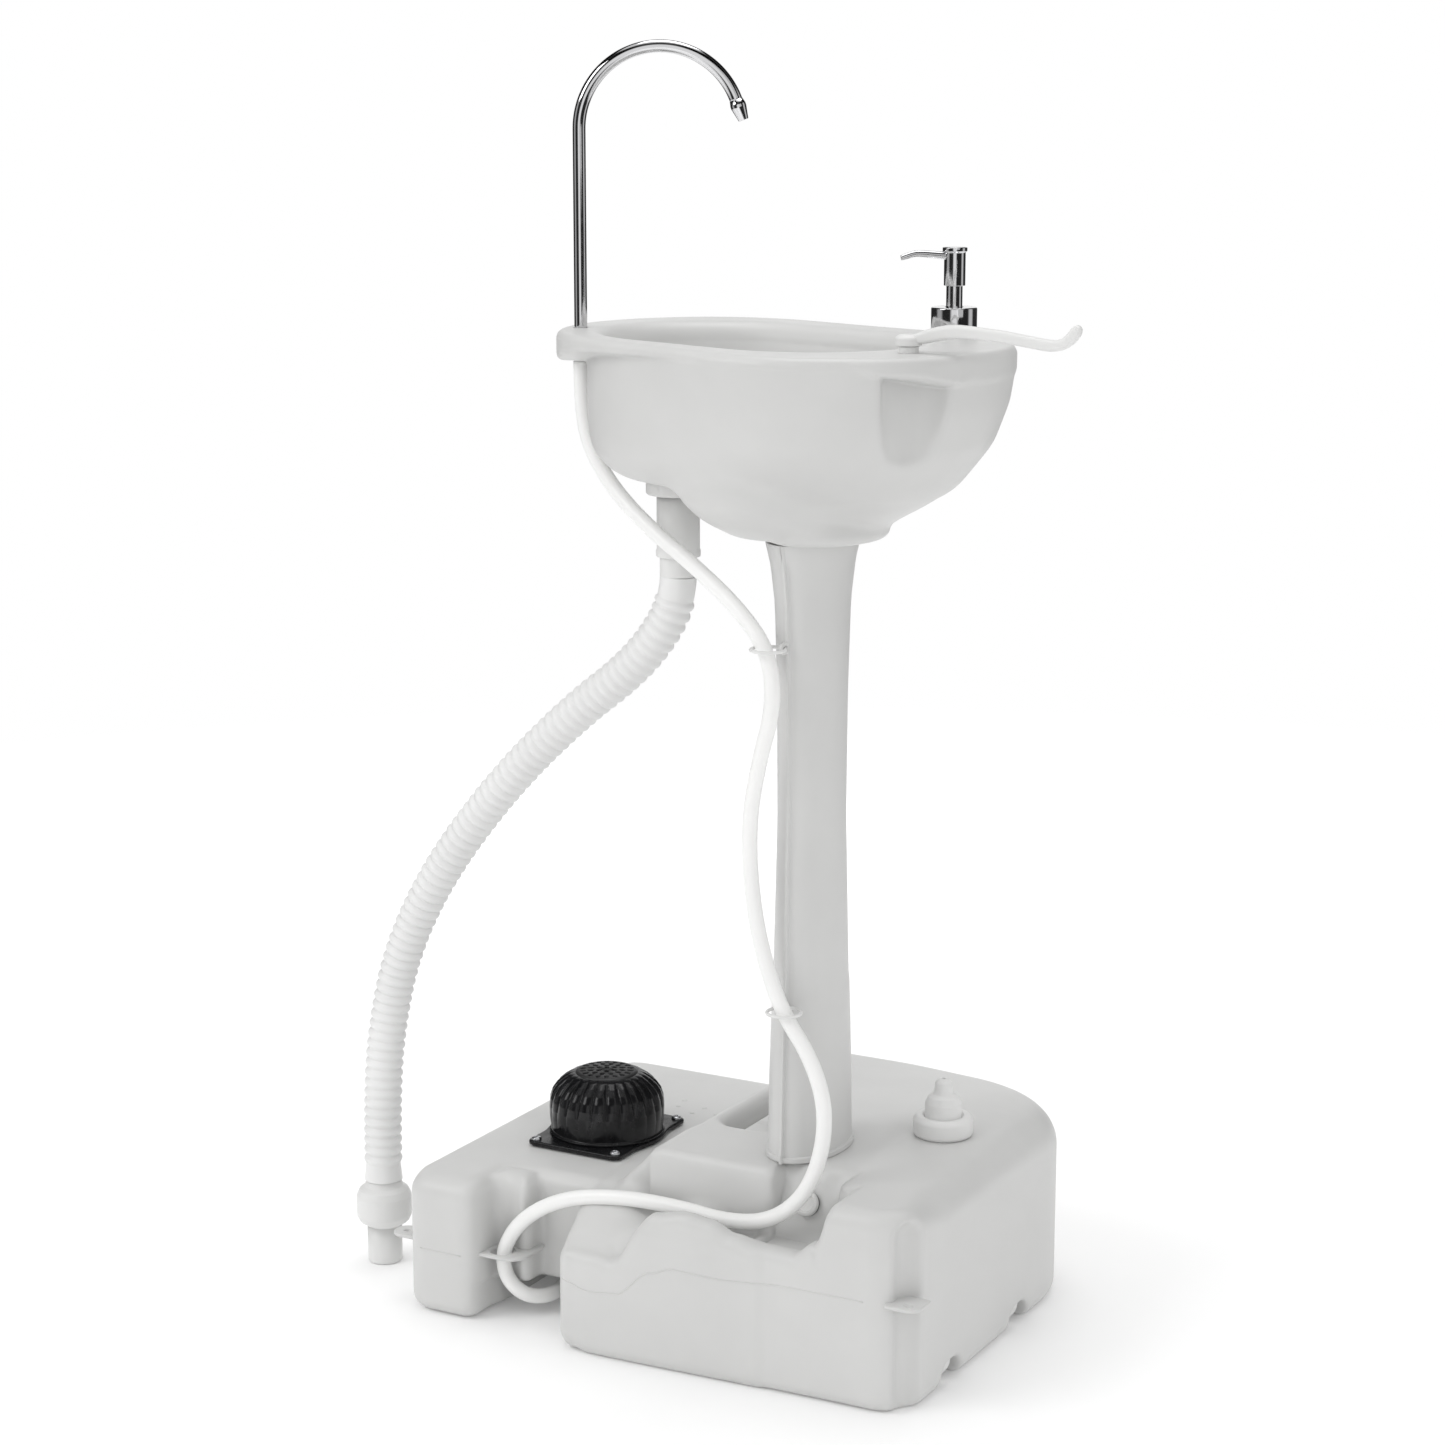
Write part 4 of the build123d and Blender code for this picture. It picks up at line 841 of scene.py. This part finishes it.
COLLAR_TOP, COLLAR_FOOT = low_high("drain_collar")[1][2], low_high("drain_collar")[0][2]
collar = turned("waste_collar", [
    (17.7, COLLAR_TOP), (24.6, COLLAR_TOP, 1.5), (25, COLLAR_TOP - 6, 3), (25, COLLAR_FOOT + 1, 2.5),
    (17.7, COLLAR_FOOT, 1), (17.7, COLLAR_TOP)
], below(WASTE), "base", "white_plastic", 2, 96)
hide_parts("drain_collar")
tailpiece = turned("waste_tailpiece", [
    (14.7, COLLAR_FOOT), (16.8, COLLAR_FOOT, 0), (16.8, 622, 0.6), (17.4, 620, 0.6), (17.4, 615.4, 1),
    (14.7, 615, 0.8), (14.7, COLLAR_FOOT)
], below(WASTE), "base", "white_plastic", 0.6, 96)
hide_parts("drain_tailpiece")

# ---------------------------------------------------------------- foot pump
PUMP = middle("pump_bellows")
PLATE_LOW, PLATE_HIGH = low_high("pump_flange")
BELLOWS_BASE, BELLOWS_TOP = low_high("pump_bellows")[0][2], low_high("pump_bellows")[1][2]
FLUTES = 24
SCREW_X, SCREW_Y = 37.5, 50.5


def fluted(angles, r, z):
    """Lobes with narrow valleys, strong over the shoulder of the bellows and faint on its wall."""
    deep = ease(z, 138, 153, 0.5, 3.0) * ease(z, 165, BELLOWS_TOP + 1, 1, 0.2)
    deep = deep * ease(z, BELLOWS_BASE + 2, BELLOWS_BASE + 8, 0, 1) if r > 40 or z > 150 else 0
    lobe = np.abs(np.sin(angles * FLUTES / 2)) ** 0.55
    return r - deep * (1 - lobe)


bellows_profile = [
    (38, BELLOWS_BASE + 0.05), (47.8, BELLOWS_BASE + 0.05, 0), (47.8, BELLOWS_BASE + 1.6, 0.8),
    (46.2, BELLOWS_BASE + 2.8, 1.5), (46.8, 128, 0), (47.6, 135, 6), (47.9, 143, 6), (47.4, 150, 6),
    (45.4, 156, 6), (41.6, 161.5, 6), (36.5, 166, 6), (31.0, 169.4, 5), (26.4, 171.0, 0), (22, 169.6, 0),
    (30, 165, 4), (38, 158, 5), (43.5, 148, 5), (44, 136, 5), (38, BELLOWS_BASE + 3, 0)
]
bellows = turned("bellows_cover", bellows_profile, below(PUMP), "base", "black_rubber", 4, FLUTES * 14,
                 flute=fluted)
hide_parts("pump_bellows")
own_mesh(bellows)

dimples = [(0, 0)]
for rim, count in ((7, 6), (13.5, 12), (20, 18)):
    dimples += [(rim, 2 * pi * (i + 0.5 * (count == 12)) / count) for i in range(count)]


def tread_field(p):
    x, y, z = p[0] - PUMP[0], p[1] - PUMP[1], p[2]
    crown = z - (BELLOWS_TOP + 3.4 - 0.0016 * (x * x + y * y))
    disc = meet(meet(np.hypot(x, y) - 26.5, crown, 4), BELLOWS_TOP - 0.6 - z, 1)
    form = join(disc, rod((x, y, z), (0, 0, 96), (0, 0, BELLOWS_TOP), 3.98), 4)
    deepest = 99.0
    for rim, turn in dimples:
        along = (x * cos(turn) + y * sin(turn)) - rim
        across = (y * cos(turn) - x * sin(turn))
        pit = np.sqrt((along / 1.4) ** 2 + across ** 2 + ((z - BELLOWS_TOP - 2.8) / 1.4) ** 2) - 1.9
        deepest = np.minimum(deepest, pit)
    return cut(form, deepest, 0.5)


tread = moulded("tread_disc", tread_field, (PUMP[0] - 27, PUMP[1] - 27, 91),
                (PUMP[0] + 27, PUMP[1] + 27, 175), 0.75,
                "pump_tread", "black_rubber", finish="tread_rubber")
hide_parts("pump_tread")


def plate_field(p):
    x, y = p[0] - PUMP[0], p[1] - PUMP[1]
    outline = rounded_plan(x, y, -44, 44, -57, 57, (7,) * 4)
    plate = meet(meet(join(outline, np.hypot(x, y) - 49, 5), p[2] - PLATE_HIGH[2], 1.6), PLATE_LOW[2] - p[2],
                 1)
    return cut(plate, np.hypot(x, y) - 27, 1)


plate = moulded("pump_plate", plate_field, PLATE_LOW - 1, PLATE_HIGH + 2, 1.2, "base", "black_plastic")
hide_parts("pump_flange")


def screws_field(p):
    x, y, z = np.abs(p[0] - PUMP[0]) - SCREW_X, np.abs(p[1] - PUMP[1]) - SCREW_Y, p[2]
    far = np.hypot(x, y)
    head = meet(meet(far - 4.1, z - (PLATE_HIGH[2] + 2.6 - 0.05 * far ** 2), 1.4), PLATE_HIGH[2] - 0.2 - z,
                0.4)
    slot_x = np.maximum(np.abs(x) - 0.5, np.abs(y) - 2.3)
    slot_y = np.maximum(np.abs(y) - 0.5, np.abs(x) - 2.3)
    cross = np.maximum(np.minimum(slot_x, slot_y), PLATE_HIGH[2] + 1.2 - z)
    shaft = np.maximum(np.maximum(far - 1.7, z - PLATE_HIGH[2]), PLATE_HIGH[2] - 14 - z)
    return np.minimum(cut(head, cross, 0.3), shaft)


screws = moulded("pump_screw_heads", screws_field, (PUMP[0] - 43, PUMP[1] - 56, PLATE_HIGH[2] - 14),
                 (PUMP[0] + 43, PUMP[1] + 56, PLATE_HIGH[2] + 3), 0.5, "base", "zinc_steel")
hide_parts("pump_screws")


def coil_spring(name, node, coil_r, wire_r, inset):
    """A spring wire in place of a CAD node's."""
    low, high = low_high(node)
    x, y, _ = middle(node)
    turns = np.linspace(0, 1, 6 * 28)
    helix = np.stack([x + coil_r * np.cos(turns * 12 * pi), y + coil_r * np.sin(turns * 12 * pi),
                      low[2] + inset + turns * (high[2] - low[2] - 2 * inset)], axis=1)
    sides = 10 if wire_r > 0.5 else 8
    piece = sweep(name, helix * MM, [circle_ring(wire_r * MM, sides)] * len(helix), "base", "zinc_steel")
    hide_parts(node)
    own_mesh(piece)


coil_spring("pump_spring_wire", "pump_spring", 10, 1, 1)
coil_spring("soap_spring_wire", "soap_spring", 3.6, 0.45, 0.5)

# ---------------------------------------------------------------- filler cap and tank plug
FILLER = middle("filler_nut")
NUT_LOW, NUT_HIGH = low_high("filler_nut")
TIP = low_high("filler_nozzle")[1][2]
cap_nut = turned("filler_nut_ring", [
    (19.3, NUT_LOW[2]), (23, NUT_LOW[2], 0.6), (24, NUT_LOW[2] + 2, 1.5), (24, NUT_HIGH[2] - 3, 4),
    (21, NUT_HIGH[2], 3), (16.5, NUT_HIGH[2], 1), (14.8, NUT_HIGH[2] - 1.6, 0.5),
    (14.8, NUT_HIGH[2] - 3, 0), (19.3, NUT_HIGH[2] - 3, 0), (19.3, NUT_LOW[2])
], below(FILLER), "filler_cap", "white_plastic", 2, 96)
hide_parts("filler_nut")
SKIRT = low_high("filler_nozzle")[0][2]
nozzle = turned("filler_nozzle_dome", [
    (1.5, SKIRT), (19, SKIRT, 0), (19, SKIRT + 1.9, 0.3), (14.6, SKIRT + 1.9, 0), (14.6, TIP - 20, 5),
    (12.2, TIP - 14.6, 3), (8.2, TIP - 12.2, 2.6), (7.2, TIP - 9, 2), (6.8, TIP - 3, 3), (3.6, TIP, 2),
    (1.5, TIP, 0.4), (1.5, SKIRT)
], below(FILLER), "filler_cap", "white_plastic", 2, 72)
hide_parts("filler_nozzle")
PLUG_FACE = np.array((27, -55, 132))
plug = turned("tank_plug_head", [
    (0, -9.6), (7.3, -9.6, 0.6), (7.3, 0, 0), (9.6, 0, 0), (10, 0.8, 0.6), (10, 4.2, 1.5), (7.2, 5.2, 0.8),
    (6.2, 3.6, 0.5), (0, 3.2)
], tuple(PLUG_FACE + PLUG_LEAN * 1.5), "tank_plug", "white_plastic", 0.6, 64, axis=tuple(PLUG_LEAN),
   finish="plug")
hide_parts("drain_plug")

# ---------------------------------------------------------------- faucet
TAP_R, GOOSE_R, GOOSE_START, GOOSE_SWEEP, HEADING = 5.0, 62.0, 941.0, 160.0, 28.8
along_tap = np.array((cos(radians(HEADING)), sin(radians(HEADING)), 0))
up = np.array((0, 0, 1.0))
foot = np.array(below(TAP))
straight = [foot + up * z for z in np.linspace(low_high("faucet_spout")[0][2], GOOSE_START, 40)[:-1]]
bend = [foot + along_tap * (GOOSE_R - GOOSE_R * cos(a)) + up * (GOOSE_START + GOOSE_R * sin(a))
        for a in np.radians(np.linspace(0, GOOSE_SWEEP, 90))]
tube = np.array(straight + bend)
spout = sweep("faucet_tube", tube * MM, [circle_ring(TAP_R * MM, 48)] * len(tube), "faucet", "chrome",
              first_side=(0, 1, 0))
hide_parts("faucet_spout")
tip_heading = tube[-1] - tube[-2]
tip_heading /= np.linalg.norm(tip_heading)
tip = turned("faucet_tip", [
    (2.2, -1), (5.1, -1, 0), (6.1, 3.2, 0.8), (6.1, 5.2, 1.2), (3.9, 15.6, 0.3), (3.0, 15.6, 0.3),
    (2.2, 13, 0), (2.2, -1)
], tuple(tube[-1]), "faucet", "chrome", 0.4, 48, axis=tuple(tip_heading))
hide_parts("faucet_nozzle")

# ---------------------------------------------------------------- soap pump
soap_foot = below(SOAP)
soap_cap = turned("soap_collar_cap", [
    (15.3, DECK_TOP + 0.1), (17.7, DECK_TOP + 0.1, 0.3), (17.7, 808, 1.2), (7.6, 808, 0.5),
    (6.35, 807, 0.3), (6.35, 804, 0), (11.8, 804, 0), (11.8, 788, 0), (15.3, 788, 0), (15.3, DECK_TOP + 0.1)
], soap_foot, "base", "chrome", 0.4, 96)
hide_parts("soap_collar")
SOAP_HEADING = 219.0
spout_run = np.array((cos(radians(SOAP_HEADING)), sin(radians(SOAP_HEADING)), 0))
soap_knob = turned("soap_head_knob", [
    (0, 824.1), (8.25, 824.1, 0.5), (8.25, 849.2, 0.6), (9.5, 850.4, 0.5), (9.5, 853, 0.7),
    (8.6, 853.4, 0.3), (0, 853.6)
], soap_foot, "soap_spout", "chrome", 0.4, 80)
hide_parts("soap_head")
spout_route = [
    (3.0, 846.3), (10, 847.0), (20, 848.0), (27, 848.6), (31, 848.6), (35, 847.6), (39, 846.3), (42, 845.4)
]
fine = np.linspace(0, 1, 40)
reach = np.interp(fine, np.linspace(0, 1, 8), [r for r, _ in spout_route])
heights = np.interp(fine, np.linspace(0, 1, 8), [z for _, z in spout_route])
heights = np.convolve(np.pad(heights, 3, mode="edge"), np.ones(7) / 7, mode="valid")
spout_points = np.array(soap_foot) + reach[:, None] * spout_run + heights[:, None] * up
sizes = np.interp(fine, [0, 0.25, 0.8, 1], [3.4, 2.8, 2.3, 2.0])
sweep("soap_head_spout", spout_points * MM, [circle_ring(size * MM, 24) for size in sizes], "soap_spout",
      "chrome")

# ---------------------------------------------------------------- towel arm
ARM_Z = DECK_TOP + 5.3
boss = turned("towel_arm_boss", [
    (4.05, ARM_Z), (9.6, ARM_Z, 0.8), (10, ARM_Z + 6, 2.4), (7, ARM_Z + 8, 2), (0, ARM_Z + 8.4)
], below(POST), "towel_arm", "white_plastic", 1, 64)
post = turned("towel_post_collar", [
    (0, DECK_TOP - 2.9), (3.98, DECK_TOP - 2.9, 0), (3.98, DECK_TOP + 0.1, 0), (7.5, DECK_TOP + 0.1, 0.2),
    (7.5, DECK_TOP + 5, 0.6), (3.98, DECK_TOP + 5, 0), (3.98, DECK_TOP + 9.6, 0.5), (0, DECK_TOP + 9.6)
], below(POST), "base", "white_plastic", 0.4, 64)
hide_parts("towel_post")
# Reach, height, width and thickness of the arm from its boss to its hooked end.
ARM_LINE = [
    (0, 795.6, 9, 6), (8, 796.4, 10, 8), (16, 799, 10, 10), (26, 801.2, 10, 10.5), (36, 803.0, 10, 10),
    (50, 802.6, 10, 9), (70, 801.2, 10, 8.6), (90, 798.6, 10, 8.4), (106, 796.2, 10, 8.4),
    (114, 795.6, 10, 8.2), (121, 797.2, 10, 8), (126.5, 801.4, 9.6, 8), (130, 806.4, 9, 8),
    (131.6, 809.4, 6.5, 6), (132.2, 810.6, 3, 3)
]


def oval_box_ring(wide, thick, sides=32, power=3.2):
    angles = np.arange(sides) * 2 * pi / sides
    c, s = np.cos(angles), np.sin(angles)
    return np.stack([np.sign(c) * np.abs(c) ** (2 / power) * wide / 2,
                     np.sign(s) * np.abs(s) ** (2 / power) * thick / 2], axis=1) * MM


arm_rows = np.array(ARM_LINE)
arm_step = np.concatenate([[0], np.cumsum(np.hypot(np.diff(arm_rows[:, 0]), np.diff(arm_rows[:, 1])))])
arm_fine = np.linspace(0, arm_step[-1], 110)
arm = np.stack([np.interp(arm_fine, arm_step, arm_rows[:, i]) for i in range(4)], axis=1)
padded_arm = np.pad(arm[:, :2], ((5, 5), (0, 0)), mode="reflect", reflect_type="odd")
for i in range(2):
    arm[:, i] = np.convolve(padded_arm[:, i], np.ones(11) / 11, mode="valid")
arm_points = np.stack([POST[0] + arm[:, 0], np.full(len(arm), POST[1]), arm[:, 1]], axis=1)
towel_arm = sweep("towel_arm_bar", arm_points * MM,
                  [oval_box_ring(wide, thick) for wide, thick in arm[:, 2:]],
                  "towel_arm", "white_plastic")
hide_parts("towel_arm")


# ---------------------------------------------------------------- stage, light and finish
def make_world():
    """White surroundings; polished metal also sees the dark gaps between a studio's soft boxes."""
    world = bpy.data.worlds.new("studio")
    bpy.context.scene.world = world
    world.use_nodes = True
    nodes, links = world.node_tree.nodes, world.node_tree.links
    nodes.clear()
    rays = nodes.new("ShaderNodeLightPath")
    place = nodes.new("ShaderNodeTexCoord")
    around = nodes.new("ShaderNodeTexGradient")
    around.gradient_type = "RADIAL"
    boxes = nodes.new("ShaderNodeValToRGB")
    stops = [(0.00, 0.03), (0.05, 0.03), (0.08, 0.55), (0.13, 0.55), (0.16, 0.03), (0.26, 0.03), (0.29, 1.15),
             (0.35, 1.15), (0.38, 0.02), (0.52, 0.03), (0.55, 0.8), (0.59, 0.8), (0.62, 0.03), (0.76, 0.05),
             (0.79, 1.2), (0.85, 1.2), (0.88, 0.03), (1.00, 0.03)]
    elements = boxes.color_ramp.elements
    for i, (at, value) in enumerate(stops):
        stop = elements[i] if i < 2 else elements.new(at)
        stop.position = at
        stop.color = (value, value, value, 1)
    open_sky, backdrop, studio = (nodes.new("ShaderNodeBackground") for _ in range(3))
    for background, strength in ((open_sky, SKY), (backdrop, 1.0)):
        background.inputs["Color"].default_value = (1, 1, 1, 1)
        background.inputs["Strength"].default_value = strength
    for_gloss, for_camera = nodes.new("ShaderNodeMixShader"), nodes.new("ShaderNodeMixShader")
    result = nodes.new("ShaderNodeOutputWorld")
    links.new(place.outputs["Generated"], around.inputs["Vector"])
    links.new(around.outputs["Fac"], boxes.inputs["Fac"])
    # Above the soft boxes the studio is dark, with one bright panel overhead.
    split = nodes.new("ShaderNodeSeparateXYZ")
    links.new(place.outputs["Generated"], split.inputs[0])
    walls = rescaled(nodes, links, split.outputs["Z"], 0.35, 0.50, 1.0, 0.06)
    panel = rescaled(nodes, links, split.outputs["Z"], 0.84, 0.90, 0.0, 0.9)
    lit, total = nodes.new("ShaderNodeMath"), nodes.new("ShaderNodeMath")
    lit.operation, total.operation = "MULTIPLY", "ADD"
    links.new(boxes.outputs["Color"], lit.inputs[0])
    links.new(walls, lit.inputs[1])
    links.new(lit.outputs["Value"], total.inputs[0])
    links.new(panel, total.inputs[1])
    links.new(total.outputs["Value"], studio.inputs["Strength"])
    links.new(rays.outputs["Is Glossy Ray"], for_gloss.inputs["Fac"])
    links.new(open_sky.outputs["Background"], for_gloss.inputs[1])
    links.new(studio.outputs["Background"], for_gloss.inputs[2])
    links.new(rays.outputs["Is Camera Ray"], for_camera.inputs["Fac"])
    links.new(for_gloss.outputs["Shader"], for_camera.inputs[1])
    links.new(backdrop.outputs["Background"], for_camera.inputs[2])
    links.new(for_camera.outputs["Shader"], result.inputs["Surface"])


def soft_box(name, place, target, size, power):
    data = bpy.data.lights.new(name, "AREA")
    data.shape = "RECTANGLE"
    data.size, data.size_y = size
    data.energy = power
    light = bpy.data.objects.new(name, data)
    light.location = place
    aim = Vector(target) - Vector(place)
    light.rotation_euler = aim.to_track_quat("-Z", "Y").to_euler()
    bpy.context.scene.collection.objects.link(light)


def make_floor():
    """A round pale floor, small enough that upright chrome looks past its edge."""
    radius, sides = 2.6, 96
    mesh = bmesh.new()
    ring = [mesh.verts.new((radius * cos(2 * pi * i / sides), radius * sin(2 * pi * i / sides), 0))
            for i in range(sides)]
    mesh.faces.new(ring)
    data = bpy.data.meshes.new("floor")
    mesh.to_mesh(data)
    mesh.free()
    floor = bpy.data.objects.new("floor", data)
    bpy.context.scene.collection.objects.link(floor)
    material, nodes, links, shader = new_material("floor_paper", (0.95, 0.95, 0.95), 0.9)
    links.new(ramp(nodes, links, noise(nodes, links, 3, 2), (0.94, 0.94, 0.94), (0.96, 0.96, 0.96)),
              shader.inputs["Base Color"])
    shader.inputs["Specular IOR Level"].default_value = 0.0
    shader.inputs["Emission Color"].default_value = (1, 1, 1, 1)
    # Towards its edge the paper turns into the bright backdrop, so no horizon shows.
    place, reach = nodes.new("ShaderNodeTexCoord"), nodes.new("ShaderNodeVectorMath")
    reach.operation = "LENGTH"
    links.new(place.outputs["Object"], reach.inputs[0])
    for socket, near, far in (("Emission Strength", 0.07, 1.0), ("Alpha", 1.0, 0.0)):
        links.new(rescaled(nodes, links, reach.outputs["Value"], 0.9, 2.5, near, far), shader.inputs[socket])
    data.materials.append(material)


SKY = 0.80
make_world()
make_floor()
soft_box("key", (-1.9, -2.2, 2.6), (-0.05, 0.05, 0.45), (1.6, 1.6), 30)
soft_box("fill", (2.4, -1.6, 1.6), (0, 0, 0.4), (1.8, 1.8), 6)
soft_box("top", (-0.2, 0.5, 2.9), (-0.05, 0.0, 0.5), (1.4, 1.4), 14)
bpy.context.scene.view_settings.view_transform = "Standard"
